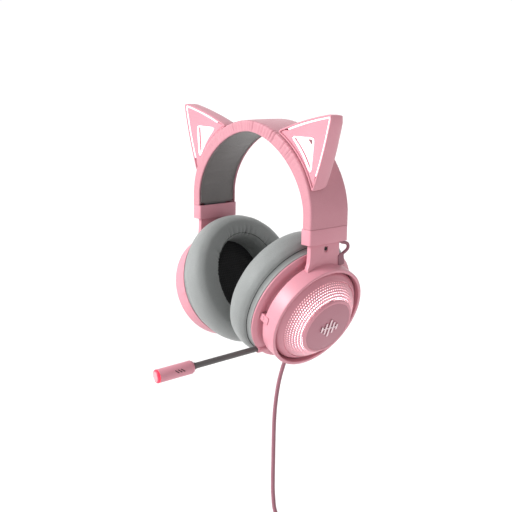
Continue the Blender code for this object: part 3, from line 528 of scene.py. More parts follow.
def along(points: Sequence[Sequence[float]], t: float, closed: bool = False) -> Vector:
    """Finds a point on a smooth curve.

    Args:
        points: What the curve runs through, evenly paced.
        t: The share of its way, from 0 to 1.
        closed: Whether it runs back to its first point.

    Returns:
        The point.
    """
    knots = [Vector(p) for p in points]
    if closed:
        knots = [knots[-1], *knots, knots[0], knots[1]]
    else:
        knots = [2 * knots[0] - knots[1], *knots, 2 * knots[-1] - knots[-2]]
    spans = len(knots) - 3
    place = min(max(t, 0.0), 1.0) * spans
    i = min(int(place), spans - 1)
    a, b, c, d = knots[i:i + 4]
    u = place - i
    square, cube = 2 * a - 5 * b + 4 * c - d, 3 * b - a - 3 * c + d
    return 0.5 * (2 * b + (c - a) * u + square * u * u + cube * u ** 3)


def spun(outline: Sequence[tuple[float, float]], axes: Matrix, steps: int = 96) -> bpy.types.Object:
    """Spins a closed outline of (radius, depth) about an axis.

    Args:
        outline: The outline, in millimetres.
        axes: Where the axis is, as a matrix from millimetres to the row frame; its Z is the axis.
        steps: Facets round the axis.

    Returns:
        The turned piece, smooth shaded.
    """
    deselect()
    bpy.ops.mesh.primitive_circle_add(vertices=len(outline), fill_type="NOTHING")
    obj = bpy.context.object
    for vertex, (radius, depth) in zip(obj.data.vertices, outline):
        vertex.co = (radius, 0.0, depth)
    with edit_mode(obj):
        bpy.ops.mesh.spin(steps=steps, angle=math.tau, center=(0, 0, 0), axis=(0, 0, 1))
    obj.data.transform(axes)
    return shade(tidy_mesh(obj))


def formed(columns: int, rows: int, place: Place, angle: float = 60.0) -> bpy.types.Object:
    """Forms a grid over a shape.

    Args:
        columns: Faces in the first direction.
        rows: Faces in the second direction.
        place: The row-frame point of each pair of shares from 0 to 1.
        angle: The sharpest edge that is shaded smooth.

    Returns:
        The formed sheet, closed where its edges meet.
    """
    deselect()
    bpy.ops.mesh.primitive_grid_add(x_subdivisions=columns, y_subdivisions=rows, size=2)
    obj = bpy.context.object
    for vertex in obj.data.vertices:
        vertex.co = place((vertex.co.x + 1) / 2, (vertex.co.y + 1) / 2)
    return shade(tidy_mesh(obj), angle)


def plate(outline: Sequence[tuple[float, float]], low: float, high: float, axes: Matrix) -> bpy.types.Object:
    """Extrudes a closed outline from one depth to another.

    Args:
        outline: The outline, in millimetres.
        low: Where it starts along the axes' Z.
        high: Where it ends.
        axes: From millimetres to the row frame.

    Returns:
        The plate.
    """
    deselect()
    bpy.ops.mesh.primitive_circle_add(vertices=len(outline), fill_type="NGON")
    obj = bpy.context.object
    for vertex, (x, y) in zip(obj.data.vertices, outline):
        vertex.co = (x, y, low)
    with edit_mode(obj):
        bpy.ops.mesh.extrude_region_move(TRANSFORM_OT_translate={"value": (0, 0, high - low)})
    obj.data.transform(axes)
    return tidy_mesh(obj)


def copied(node: str) -> bpy.types.Object:
    """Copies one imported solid, with its flat triangles joined to whole faces.

    Args:
        node: The solid's name.

    Returns:
        The copy.
    """
    source = frame["nodes"][node]
    obj = bpy.data.objects.new(f"{node}_copy", source.data.copy())
    bpy.context.scene.collection.objects.link(obj)
    obj.data.materials.clear()
    obj.data.transform(source.matrix_world)
    with edit_mode(obj):
        bpy.ops.mesh.remove_doubles(threshold=WELD * MM)
        bpy.ops.mesh.customdata_custom_splitnormals_clear()
        bpy.ops.mesh.dissolve_limited(angle_limit=math.radians(FLAT))
    return obj


def carved(obj: bpy.types.Object, tool: bpy.types.Object) -> bpy.types.Object:
    """Cuts a tool out of a piece and removes the tool."""
    apply_modifier(obj, "BOOLEAN", operation="DIFFERENCE", solver="EXACT", object=tool)
    bpy.data.objects.remove(tool)
    return obj


def mirrored(obj: bpy.types.Object) -> bpy.types.Object:
    """Copies a left piece to the wearer's right.

    Args:
        obj: The left piece.

    Returns:
        Its mirror image.
    """
    twin = bpy.data.objects.new(f"{obj.name}_twin", obj.data.copy())
    bpy.context.scene.collection.objects.link(twin)
    twin.data.transform(Matrix.Scale(-1.0, 4, (1.0, 0.0, 0.0)))
    with edit_mode(twin):
        bpy.ops.mesh.flip_normals()
    return twin


def fit(obj: bpy.types.Object, name: str, finish: Finish, body: str, *nodes: str) -> bpy.types.Object:
    """Names a piece, dresses it and sets it on its body in place of its solids.

    Args:
        obj: The finished piece.
        name: Its name.
        finish: What it is made of.
        body: The body it moves with.
        nodes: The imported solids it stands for.

    Returns:
        The piece.
    """
    obj.name = name
    obj.data.materials.clear()
    obj.data.materials.append(finish.material())
    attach(obj, body)
    if nodes:
        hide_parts(*nodes)
    LOG.info("%s on %s, %d faces", name, body, len(obj.data.polygons))
    return obj


def fit_both(obj: bpy.types.Object, name: str, finish: Finish, body: str, *nodes: str
             ) -> tuple[bpy.types.Object, bpy.types.Object]:
    """Fits a left piece and its mirror image.

    Args:
        obj: The left piece.
        name: Its name, without its side.
        finish: What it is made of.
        body: The body it moves with, without its side.
        nodes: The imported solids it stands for, without their side.

    Returns:
        The left and the right piece.
    """
    made = []
    for side, piece in ((Side.LEFT, obj), (Side.RIGHT, mirrored(obj))):
        on = body if body == "headband" else f"{side.value}_{body}"
        made.append(fit(piece, f"{side.value}_{name}", finish, on,
                        *(f"{side.value}_{node}" for node in nodes)))
    return made[0], made[1]


def dress_solid(finish: Finish, *nodes: str) -> None:
    """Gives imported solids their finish, as they are.

    Args:
        finish: What they are made of.
        nodes: Their names.
    """
    for node in nodes:
        data = frame["nodes"][node].data
        data.materials.clear()
        data.materials.append(finish.material())


def both_sides(*names: str) -> list[str]:
    """The node names of both sides."""
    return [f"{side.value}_{name}" for name in names for side in Side]


def joint(name: str) -> dict:
    """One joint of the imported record."""
    return next(j for j in frame["record"]["behaviour"]["joints"] if j["name"] == name)


def find_cup_axes() -> Matrix:
    """Finds the left cup's axes.

    Returns:
        The matrix from millimetres, with X to the back, Y up the cup and Z outwards.
    """
    face = next(m for m in frame["record"]["mounts"] if m["name"] == "left_pad_face")
    outward = -Vector(face["axis"]).normalized()
    back = Vector((0.0, 1.0, 0.0))
    up = outward.cross(back)
    centre = Vector(joint("left_cup_tilt")["pos_m"]) + outward * MM
    turn = Matrix((back, up, outward)).transposed().to_4x4()
    return Matrix.Translation(centre) @ turn @ Matrix.Scale(MM, 4)


CUP = find_cup_axes()
UPRIGHT = Matrix.Scale(MM, 4)
SIDE_VIEW = Matrix(((0, 0, 1, 0), (1, 0, 0, 0), (0, 1, 0, 0),
                    (0, 0, 0, 1)))  # an outline's X to the back, Y up
FRONT_VIEW = Matrix(((1, 0, 0, 0), (0, 0, 1, 0), (0, 1, 0, 0), (0, 0, 0, 1)))  # its X to the left, Y up


def rod_axes(start: Sequence[float], towards: Sequence[float]) -> Matrix:
    """Axes with the origin at start and Z along towards."""
    turn = Vector(towards).to_track_quat("Z", "Y").to_matrix().to_4x4()
    return Matrix.Translation(start) @ turn


def tube(points: Sequence[Vector], radius: float, fineness: int) -> bpy.types.Object:
    """Makes a round tube through row-frame points, closed at its ends.

    Args:
        points: Knots of a smooth curve, in metres.
        radius: In millimetres.
        fineness: Half the facets past the first four.

    Returns:
        The tube, as a mesh.
    """
    obj = cord_curve(points, radius)
    obj.data.bevel_resolution = fineness
    activate(obj)
    bpy.ops.object.convert(target="MESH")
    return shade(tidy_mesh(bpy.context.object), 50.0)


def cord_curve(points: Sequence[Vector], radius: float) -> bpy.types.Object:
    """Runs one open spline with a round section and closed ends.

    Args:
        points: Its knots, in metres.
        radius: In millimetres.

    Returns:
        The cord, as a curve.
    """
    deselect()
    bpy.ops.curve.primitive_bezier_curve_add()
    obj = bpy.context.object
    curve = obj.data
    curve.bevel_depth = radius * MM
    curve.bevel_resolution = 3
    curve.resolution_u = 5
    curve.use_fill_caps = True
    knots = curve.splines[0].bezier_points
    knots.add(len(points) - len(knots))
    for knot, point in zip(knots, points):
        knot.co = point
        knot.handle_left_type = knot.handle_right_type = "AUTO"
    return obj


def puffed(obj: bpy.types.Object, held: Callable[[Vector], bool], cap: float) -> bpy.types.Object:
    """Swells a closed skin with air pressure, as foam fills its cover.

    Args:
        obj: The skin, a little slack.
        held: Tells which of its points are fixed.
        cap: The furthest that a point may move, in millimetres.

    Returns:
        The piece, with its simulation applied and one subdivision added.
    """
    rest = [vertex.co.copy() for vertex in obj.data.vertices]
    activate(obj)
    group = obj.vertex_groups.new(name="held")
    group.add([i for i, point in enumerate(rest) if held(point)], 1.0, "REPLACE")
    cloth = obj.modifiers.new("cloth", "CLOTH")
    settings = cloth.settings
    settings.quality = 5
    settings.mass = 0.3
    settings.tension_stiffness = settings.compression_stiffness = 12
    settings.shear_stiffness = 6
    settings.bending_stiffness = 0.6
    settings.use_pressure = True
    settings.uniform_pressure_force = 4.0
    settings.vertex_group_mass = "held"
    settings.effector_weights.gravity = 0.0
    for step in range(PUFF_FRAMES):
        bpy.context.scene.frame_set(step + 1)
    bpy.ops.object.modifier_apply(modifier="cloth")
    bpy.context.scene.frame_set(1)
    for vertex, start in zip(obj.data.vertices, rest):
        move = vertex.co - start
        if move.length > cap * MM:
            vertex.co = start + move.normalized() * cap * MM
    obj.vertex_groups.clear()
    return apply_modifier(obj, "SUBSURF", levels=1, render_levels=1)


def ease(value: float, low: float, high: float) -> float:
    """Rises smoothly from 0 at low to 1 at high."""
    t = min(max((value - low) / (high - low), 0.0), 1.0)
    return t * t * (3.0 - 2.0 * t)


def hump(value: float, centre: float, width: float) -> float:
    """A bell of height 1 about centre."""
    return math.exp(-((value - centre) / width) ** 2)


def face(obj: bpy.types.Object, outwards: bool) -> None:
    """Turns the faces of a left cup's open sheet.

    Args:
        obj: The sheet.
        outwards: Away from the head, or else towards it.
    """
    outward = (CUP.to_3x3() @ Vector((0, 0, 1))).normalized()
    total = sum(polygon.normal.dot(outward) for polygon in obj.data.polygons)
    if (total > 0) != outwards:
        with edit_mode(obj):
            bpy.ops.mesh.flip_normals()


# Headband

@dataclass
class Headband:
    """The padded band: a pink cover gathered round the crown, and a grey lining."""

    depth: float = 41.2
    foot: float = 22.9
    outer_rise: float = 69.8
    inner_rise: float = 60.6
    thickness: float = 9.3
    outer_power: float = 1.9
    inner_power: float = 1.78
    wall: float = 1.6
    crown: float = 1.2
    gather_pitch: float = 4.1
    gather_depth: float = 1.0
    cover_rows: int = 330
    lining_rows: int = 110
    puff: float = 0.9
    thread: float = 0.2
    stitches: int = 120
    walk_steps: int = 600
    half: float = field(init=False)
    stations: list[Station] = field(init=False, default_factory=list)

    def __post_init__(self) -> None:
        """Walks the band from the right leg's foot over the crown to the left one's."""
        low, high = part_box("headband_cover")
        self.half = self.depth / 2
        width = (high.x - low.x) / MM
        datum = high.z / MM - self.foot - self.outer_rise
        steps = self.walk_steps
        turns = [math.pi * (0.5 - 0.5 * math.cos(math.pi * i / steps)) for i in range(steps + 1)]
        walk = [self.pair(turn, width, datum) for turn in turns]
        feet = [(a + Vector((0, 0, low.z / MM - a.z)), b + Vector((0, 0, low.z / MM - b.z)))
                for a, b in (walk[0], walk[-1])]
        walk = [feet[0], *walk, feet[1]]
        turns = [0.0, *turns, math.pi]
        length = 0.0
        for i, (outer, inner) in enumerate(walk):
            if i:
                length += (outer - walk[i - 1][0]).length
            self.stations.append((outer, inner, turns[i], length))

    def pair(self, turn: float, width: float, datum: float) -> tuple[Vector, Vector]:
        """Finds the band's surfaces at one turn.

        Args:
            turn: From 0 at the right leg to pi at the left one.
            width: Over both legs.
            datum: The height from which the foot is measured.

        Returns:
            The outer and the inner point.
        """
        found = []
        for size, rise, power in ((width, self.outer_rise, self.outer_power),
                                  (width - 2 * self.thickness, self.inner_rise, self.inner_power)):
            side, height = math.cos(turn), max(math.sin(turn), 0.0)
            x = -size / 2 * math.copysign(abs(side) ** (2 / power), side)
            found.append(Vector((x, 0.0, datum + self.foot + rise * height ** (2 / power))))
        return found[0], found[1]

    def at(self, share: float) -> tuple[Vector, Vector, float, float]:
        """Finds the band's place at a share of its length.

        Args:
            share: From 0 at the right foot to 1 at the left one.

        Returns:
            The outer point, the way in from it to the inner point, the turn and the length.
        """
        goal = share * self.stations[-1][3]
        low, high = 0, len(self.stations) - 1
        while high - low > 1:
            middle = (low + high) // 2
            low, high = (middle, high) if self.stations[middle][3] <= goal else (low, middle)
        a, b = self.stations[low], self.stations[high]
        t = (goal - a[3]) / max(b[3] - a[3], 1e-9)
        outer, inner = a[0].lerp(b[0], t), a[1].lerp(b[1], t)
        return outer, inner - outer, a[2] + (b[2] - a[2]) * t, goal

    def swept(self, outline: Outline, rows: int, shape: Shape, start: float = 0.0) -> bpy.types.Object:
        """Sweeps an outline of (inwards, across) along the band.

        Args:
            outline: The section at the nominal thickness.
            rows: Steps along the band.
            shape: Moves a point, given its place in the section, the turn and the length.
            start: How much of the band is left out at each end, as a share.

        Returns:
            The sweep, closed at its ends.
        """
        count = len(outline)

        def place(u: float, v: float) -> Vector:
            outer, inward, turn, length = self.at(start + (1 - 2 * start) * v)
            deep, across = outline[round(u * count) % count]
            deep, across = shape(deep, across, turn, length)
            return (outer + inward * (deep / self.thickness) + Vector((0, across, 0))) * MM

        obj = formed(count, rows, place)
        with edit_mode(obj):
            bpy.ops.mesh.fill_holes(sides=0)
            bpy.ops.mesh.normals_make_consistent(inside=False)
        return shade(obj, 60.0)

    def gathered(self, deep: float, across: float, turn: float, length: float) -> tuple[float, float]:
        """Pulls the cover's edges into gathers round the crown, and bows its outer face.

        Args:
            deep: How far inwards the point lies.
            across: How far from the band's middle.
            turn: The band's turn there.
            length: The band's length up to there.

        Returns:
            The moved point's depth and place across.
        """
        wobble = noise.noise(Vector((length * 0.11, math.copysign(3.0, across), 0.0)))
        near_crown = 1.0 - ease(abs(turn - math.pi / 2), 0.55, 1.15)
        fold = 1.0 - abs(math.cos(math.pi * length / self.gather_pitch + 2.6 * wobble)) ** 0.7
        edge = ease(abs(across), self.half - 6.0, self.half - 0.3)
        uneven = 0.65 + 1.1 * wobble
        pull = self.gather_depth * (0.12 + near_crown) * uneven * fold * edge
        pucker = 0.8 * max(noise.noise(Vector((length * 0.3, math.copysign(9.0, across), 4.0))), 0.0)
        pull += 0.5 * pucker * edge * ease(deep, 3.0, 7.0) * (1.0 - ease(deep, 8.4, 9.2))
        bow = 0.35 * (1.0 - (across / self.half) ** 2) * (1.0 - ease(deep, 0.0, 2.0))
        slack = 0.12 * noise.noise(Vector((length * 0.05, across * 0.08, 7.0))) * (1.0 - ease(deep, 0.0, 2.0))
        near_lining = 1.0 - 0.6 * ease(deep, 6.0, 9.0)
        return (deep + 0.6 * pull * (1.0 - ease(deep, 0.0, 4.0)) - bow - slack,
                across - math.copysign(pull * near_lining, across))

    def build_cover(self) -> None:
        """The gathered outer cover."""
        half, wall, deep = self.half, self.wall, self.thickness
        corners = [(0.0, -half), (0.0, half), (deep, half), (deep, half - wall), (wall, half - wall),
                   (wall, wall - half), (deep, wall - half), (deep, -half)]
        outline = self.dense(rounded(corners, 1.7, 3), 1.8)
        fit(self.swept(outline, self.cover_rows, self.gathered), "headband_gathered_cover", PINK_SKIN,
            "headband",
            "headband_cover")

    @staticmethod
    def dense(outline: Outline, step: float) -> Outline:
        """Adds points to an outline.

        Args:
            outline: The outline.
            step: The furthest that two neighbours may be apart.

        Returns:
            The denser outline.
        """
        filled: Outline = []
        for a, b in zip(outline, outline[1:] + outline[:1]):
            count = max(1, math.ceil(math.dist(a, b) / step))
            filled += [(a[0] + (b[0] - a[0]) * i / count, a[1] + (b[1] - a[1]) * i / count)
                       for i in range(count)]
        return filled

    def lined(self, deep: float, across: float, turn: float, length: float) -> tuple[float, float]:
        """Fills the lining out round the crown, where its foam is thickest.

        Args:
            deep: How far inwards the point lies.
            across: How far from the band's middle.
            turn: The band's turn there.
            length: Not used.

        Returns:
            The moved point's depth and place across.
        """
        rise = ease(math.sin(turn), 0.25, 0.75)
        if deep > self.thickness - 1.2:
            deep += self.crown * rise * (1.0 - (across / self.half) ** 2) - 0.5
        else:
            deep -= 1.6 * rise
        return deep, across

    def build_lining(self) -> None:
        """The padded lining, swelled with air and then sewn along its edges."""
        half = self.half - self.wall - 0.3
        deep = self.thickness
        corners = [(deep - 2.3, -half), (deep - 2.3, half), (deep, half), (deep, -half)]
        outline = self.dense(rounded(corners, 0.8, 2), 2.2)
        lining = self.swept(outline, self.lining_rows, self.lined, 0.002)
        edge = (half - 1.6) * MM
        lining = puffed(lining, lambda point: abs(point.y) > edge or self.behind(point), self.puff)
        self.crease(lining)
        fit(lining, "headband_padded_lining", LINING_SKIN, "headband", "headband_pad")
        for side in (-1, 1):
            self.sew(side * (half - 0.7))

    def behind(self, point: Vector) -> bool:
        """Whether a lining point lies on its hidden back."""
        turn, inner = self.nearest(point)
        outward = Vector((point.x, 0.0, point.z)) / MM - inner
        return outward.dot(self.out_at(turn)) > 1.2

    def nearest(self, point: Vector) -> tuple[int, Vector]:
        """The station whose inner point is nearest."""
        flat = Vector((point.x, 0.0, point.z)) / MM
        best = min(range(0, len(self.stations), 6), key=lambda i: (self.stations[i][1] - flat).length_squared)
        return best, self.stations[best][1]

    def out_at(self, station: int) -> Vector:
        """The direction from the inner to the outer point of a station."""
        outer, inner = self.stations[station][:2]
        return (outer - inner).normalized()

    def crease(self, lining: bpy.types.Object) -> None:
        """Adds soft creases across the lining where the band bends, and a groove under each seam.

        Args:
            lining: The puffed lining.
        """
        for vertex in lining.data.vertices:
            station, inner = self.nearest(vertex.co)
            out = self.out_at(station)
            if (Vector((vertex.co.x, 0.0, vertex.co.z)) / MM - inner).dot(out) > 0.9:
                continue
            length = self.stations[station][3]
            across = vertex.co.y / MM
            soft = noise.noise(Vector((length * 0.16, across * 0.035, 2.0)))
            groove = 0.3 * hump(abs(across), self.half - self.wall - 1.6, 0.6)
            vertex.co += out * (0.35 * max(soft, 0.0) + groove) * MM

    def sew(self, across: float) -> None:
        """Lays a row of stitches along the lining.

        Args:
            across: How far from the band's middle, less than 0 at the front.
        """
        knots = []
        for i in range(self.stitches + 1):
            outer, inward, turn, _ = self.at(0.01 + 0.98 * i / self.stitches)
            rise = ease(math.sin(turn), 0.25, 0.75)
            deep = inward.length - 0.25 + self.crown * rise * (1.0 - (across / self.half) ** 2)
            knots.append((outer + inward.normalized() * deep + Vector((0, across, 0))) * MM)
        name = "front" if across < 0 else "rear"
        fit(tube(knots, self.thread, 2), f"headband_{name}_seam_thread", LIGHT_THREAD, "headband")

    def build(self) -> None:
        """Builds the band."""
        self.build_cover()
        self.build_lining()
        dress_solid(STEEL, "headband_spring")


@dataclass
class SliderEnds:
    """The end caps, the steel strips with their screws, and the jumper cables with their boots."""

    cable_radius: float = 1.35
    route: tuple[tuple[float, float, float], ...] = (
        (0.6, 17.0, 1.2), (0.6, 17.2, -0.4), (0.8, 18.6, -1.9), (1.2, 21.4, -2.6), (1.5, 24.0, -3.6),
        (1.6, 25.2, -5.8), (1.5, 24.4, -8.2), (1.3, 22.2, -9.9), (1.1, 20.0, -11.2), (1.0, 18.6, -13.0),
        (0.9, 18.0, -15.5), (0.9, 17.9, -17.5),
    )
    yoke_boot: tuple[float, float, float] = (0.9, 16.6, -23.0)
    start: Vector = field(init=False)

    def __post_init__(self) -> None:
        """Finds where the left strip comes out of its cap."""
        low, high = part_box("left_slider_strip")
        self.start = Vector(((low.x + high.x) / 2, 0.0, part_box("left_end_cap")[0].z))

    def build(self) -> None:
        """Builds both ends of the band."""
        cap = soften(copied("left_end_cap"), 0.7, 3)
        fit_both(shade(cap), "moulded_end_cap", PINK_SHELL, "headband", "end_cap")
        dress_solid(STEEL, *both_sides("slider_strip"))
        dress_solid(BLACKENED, *both_sides("slider_screw"))
        knots = [self.start + Vector(point) * MM for point in self.route]
        cable = tube(knots, self.cable_radius, 4)
        for side, piece in ((Side.LEFT, cable), (Side.RIGHT, mirrored(cable))):
            self.hang(piece, side)
        cone = rounded([(0.0, -1.5), (2.3, -1.5), (2.3, 0.4), (1.5, 3.4), (0.0, 3.4)], 0.4, 3)
        boot = spun(cone, rod_axes(knots[0], (0, 0.1, -1)) @ UPRIGHT, 24)
        fit_both(boot, "jumper_cap_boot", CORD_JACKET, "headband")
        axes = Matrix.Translation(self.start + Vector(self.yoke_boot) * MM) @ UPRIGHT @ SIDE_VIEW
        wedge = rounded([(-3.2, 1.8), (4.2, 3.2), (3.6, 6.0), (2.9, 11.8), (0.2, 12.6), (-3.2, 11.0)], 1.0, 4)
        boot = soften(plate(wedge, -1.9, 1.9, axes), 0.9, 4, 40.0)
        fit_both(shade(boot, 50.0), "jumper_yoke_boot", CORD_JACKET, "arm")

    def hang(self, cable: bpy.types.Object, side: Side) -> None:
        """Names and dresses a jumper cable that runs between its cap and its yoke, in place of the imported
        one.

        Args:
            cable: The cable.
            side: The side it is on.
        """
        cable.name = f"{side.value}_jumper_lead"
        cable.data.materials.clear()
        cable.data.materials.append(CORD_JACKET.material())
        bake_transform(cable)
        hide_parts(f"{side.value}_jumper_cable")


# Yokes and cups

@dataclass
class Yoke:
    """The stem and ring that carry a cup, with its pivot bosses."""

    outer: float = 46.0
    inner: float = 43.2
    back: float = 1.0
    front: float = 15.4
    stem_thickness: float = 4.2
    stem_front: float = -16.8
    stem_rear: float = 14.6
    flare: float = 3.4
    screw_drop: float = 5.0
    pivot: float = -1.0

    def build(self) -> None:
        """Builds both yokes."""
        outline = rounded([(self.inner, self.back), (self.outer, self.back), (self.outer, self.front),
                           (self.inner, self.front)], 0.9, 4)
        fit_both(spun(outline, CUP, 144), "yoke_ring", PINK_SHELL, "arm", "yoke")
        fit_both(self.stem(), "yoke_stem", PINK_SHELL, "arm")
        for end in (-1, 1):
            name = "front" if end < 0 else "rear"
            fit_both(self.boss(end), f"yoke_{name}_pivot_boss", PINK_SHELL, "arm")
            fit_both(self.pin(end), f"yoke_{name}_pivot_cap", PINK_SHELL, "arm")

    def stem(self) -> bpy.types.Object:
        """The flat stem, flared into the ring, with the pocket of its screw."""
        low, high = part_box("left_slider_strip")
        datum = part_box("left_end_cap")[0].z / MM
        middle = (low.x + high.x) / 2 / MM
        front, rear, flare = self.stem_front, self.stem_rear, self.flare
        foot = -30.0
        outline = [(front, -0.4), (front - 0.2, -9.0), (front - 0.2 * flare, -15.0),
                   (front - 0.7 * flare, -19.5), (front - flare, foot), (rear + flare, foot),
                   (rear + flare, -18.5), (rear + 0.35 * flare, -13.5), (rear + 0.3, -9.0), (rear, -0.4)]
        axes = Matrix.Translation((0.0, 0.0, datum * MM)) @ UPRIGHT @ SIDE_VIEW
        half = self.stem_thickness / 2
        stem = plate(rounded(outline, 1.4, 3), middle - half, middle + half, axes)
        inside = self.inner + 1.4
        stem = carved(stem, spun([(0.0, -20.0), (inside, -20.0), (inside, 40.0), (0.0, 40.0)], CUP, 144))
        drop = datum - self.screw_drop
        pocket = [(-1.8, drop - 2.5), (1.8, drop - 2.5), (1.8, drop + 2.3), (-1.8, drop + 2.3)]
        tool = plate(rounded(pocket, 0.9, 3), middle + 0.9, middle + 8.0, UPRIGHT @ SIDE_VIEW)
        stem = carved(stem, tool)
        return shade(soften(stem, 0.5, 3, 40.0), 40.0)

    def boss(self, end: int) -> bpy.types.Object:
        """Makes the block that a pivot pin turns in.

        Args:
            end: -1 for the front pivot, 1 for the rear one.

        Returns:
            The block.
        """
        near, far = sorted((end * (self.inner + 0.4), end * (self.outer + 0.7)))
        low, high = self.pivot - 2.4, 6.0
        outline = rounded([(-3.0, low), (3.0, low), (3.0, high), (-3.0, high)], 1.0, 3)
        return shade(soften(plate(outline, near, far, CUP @ SIDE_VIEW), 0.4, 2))

    def pin(self, end: int) -> bpy.types.Object:
        """The round cap over a pivot pin."""
        axes = CUP @ rod_axes((end * (self.outer + 0.6), 0.0, self.pivot + 0.6), (end, 0, 0))
        return spun(rounded([(0.0, -0.5), (1.7, -0.5), (1.7, 0.5), (0.0, 0.6)], 0.3, 3), axes, 32)


@dataclass
class CupShells:
    """The cup's base, its perforated and lit dome, and the disc with its emblem."""

    body: float = 41.6
    wall: float = 1.6
    base_front: float = 9.5
    flange: float = 51.5
    flange_flat: float = 47.5
    flange_face: float = -4.0
    flange_edge: float = -6.8
    disc: float = 23.4
    disc_face: float = 28.1
    dome: tuple[tuple[float, float], ...] = (
        (36.3, 16.3), (34.4, 18.9), (31.8, 21.4), (28.8, 23.7), (25.4, 25.9),
    )
    hole_rings: int = 7
    holes_around: int = 92
    hole_size: float = 0.8
    skin: float = 0.35

    def build(self) -> None:
        """Builds both cups' shells."""
        self.build_base()
        self.build_skirt()
        self.build_dome()
        self.build_disc()
        dress_solid(WHITE_BOARD, *both_sides("light_board"), "circuit_board")

    def base(self) -> bpy.types.Object:
        """The turned base with its flange."""
        wall, inner = self.wall, self.body - self.wall
        edge, top, barrel = self.flange_edge, self.flange_face, self.body + 0.1
        outline = [
            (self.flange, edge), (self.flange, edge + 1.4), (self.flange_flat, top), (barrel, top),
            (barrel, self.base_front), (inner, self.base_front), (inner, top - wall),
            (self.flange_flat - 0.5, top - wall), (self.flange - wall, edge + 0.5),
            (self.flange - wall, edge),
        ]
        return spun(rounded(outline, 0.6, 3), CUP, 144)

    def build_base(self) -> None:
        """Fits the bases. The left one is cut open for the microphone, the wheel and the button."""
        worked = self.base()
        plain = mirrored(worked)
        for tool in Controls().openings(self.flange, self.flange_edge):
            worked = carved(worked, tool)
        worked = carved(worked, Microphone().bore())
        fit(shade(worked, 40.0), "left_turned_base", PINK_SHELL, "left_cup", "left_cup_base")
        fit(plain, "right_turned_base", PINK_SHELL, "right_cup", "right_cup_base")
        pin = rounded([(0.0, -1.2), (1.5, -1.2), (1.5, 4.6), (0.0, 4.6)], 0.3, 3)
        for end in (-1, 1):
            axes = CUP @ rod_axes((end * self.body, 0.0, -1.0), (end, 0, 0))
            name = "front" if end < 0 else "rear"
            fit_both(spun(pin, axes, 24), f"{name}_pivot_pin", PINK_SHELL, "cup")

    def build_skirt(self) -> None:
        """The plain rim round the perforated dome, stepped in two bands."""
        inner = self.body - self.wall
        seat = self.base_front + 0.25
        outline = [(self.body + 0.05, seat), (self.body - 0.1, 11.4), (40.4, 13.2), (38.6, 14.9),
                   (37.4, 16.4), (36.9, 16.9), (36.5, 16.7), (36.3, 15.6), (35.6, 14.6), (37.0, 12.6),
                   (inner, 10.8), (inner, seat)]
        fit_both(spun(rounded(outline, 0.35, 3), CUP, 144), "dome_rim", PINK_SHELL, "cup", "cup_grille")

    def build_dome(self) -> None:
        """The perforated dome over its glowing diffuser."""
        rings = self.hole_rings
        around = self.holes_around

        def place(u: float, v: float) -> Vector:
            radius, depth = along(self.dome, v)
            turn = math.tau * (u + 0.5 * v * rings / around)
            return CUP @ Vector((radius * math.cos(turn), radius * math.sin(turn), depth))

        dome = formed(around * 2, rings * 2, place)
        with edit_mode(dome):
            bpy.ops.mesh.select_mode(type="VERT")
            bpy.ops.mesh.select_all(action="DESELECT")
        centres = {self.key(place((i + 0.5) / around, (j + 0.5) / rings))
                   for i in range(around) for j in range(rings)}
        for vertex in dome.data.vertices:
            vertex.select = self.key(vertex.co) in centres
        with edit_mode(dome, whole=False):
            bpy.ops.mesh.bevel(affect="VERTICES", offset=self.hole_size * MM, segments=2, profile=0.5,
                               clamp_overlap=True)
            bpy.ops.mesh.select_mode(type="FACE")
            bpy.ops.mesh.delete(type="FACE")
            bpy.ops.mesh.select_all(action="SELECT")
            bpy.ops.mesh.normals_make_consistent(inside=False)
        face(dome, outwards=True)
        apply_modifier(dome, "SOLIDIFY", thickness=self.skin * MM, offset=-1.0)
        fit_both(shade(dome, 40.0), "perforated_dome", PINK_DOME, "cup")
        inside = [(r - 1.6, s - 2.0) for r, s in self.dome]
        outline = [*inside, *[(r - 1.1, s - 1.0) for r, s in reversed(inside)]]
        fit_both(spun(outline, CUP, 96), "glowing_diffuser", DOME_GLOW, "cup", "light_diffuser")

    @staticmethod
    def key(point: Vector) -> tuple[int, ...]:
        """A point rounded to a fiftieth of a millimetre, to find it again."""
        return tuple(round(c / MM * 50) for c in point)

    def build_disc(self) -> None:
        """The dusky disc in its pale rim, and the five bars of its emblem."""
        top, disc = self.disc_face, self.disc
        rim = [(disc - 1.0, top - 2.4), (disc + 1.9, top - 2.4), (disc + 1.7, top - 1.2),
               (disc + 0.9, top - 0.3), (disc - 0.4, top), (disc - 1.0, top - 0.4)]
        fit_both(spun(rounded(rim, 0.4, 3), CUP, 112), "disc_rim", PINK_SHELL, "cup")
        dish = [(0.0, top - 2.4), (disc - 1.0, top - 2.4), (disc - 1.0, top - 0.35), (disc * 0.7, top + 0.15),
                (disc * 0.35, top + 0.45), (0.0, top + 0.55)]
        fit_both(spun(dish, CUP, 112), "dusky_disc", DUSKY_DISC, "cup", "cup_disc")
        emblem = soften(copied("left_cup_emblem"), 0.22, 3)
        fit_both(shade(emblem), "level_bar_emblem", PLATED, "cup", "cup_emblem")


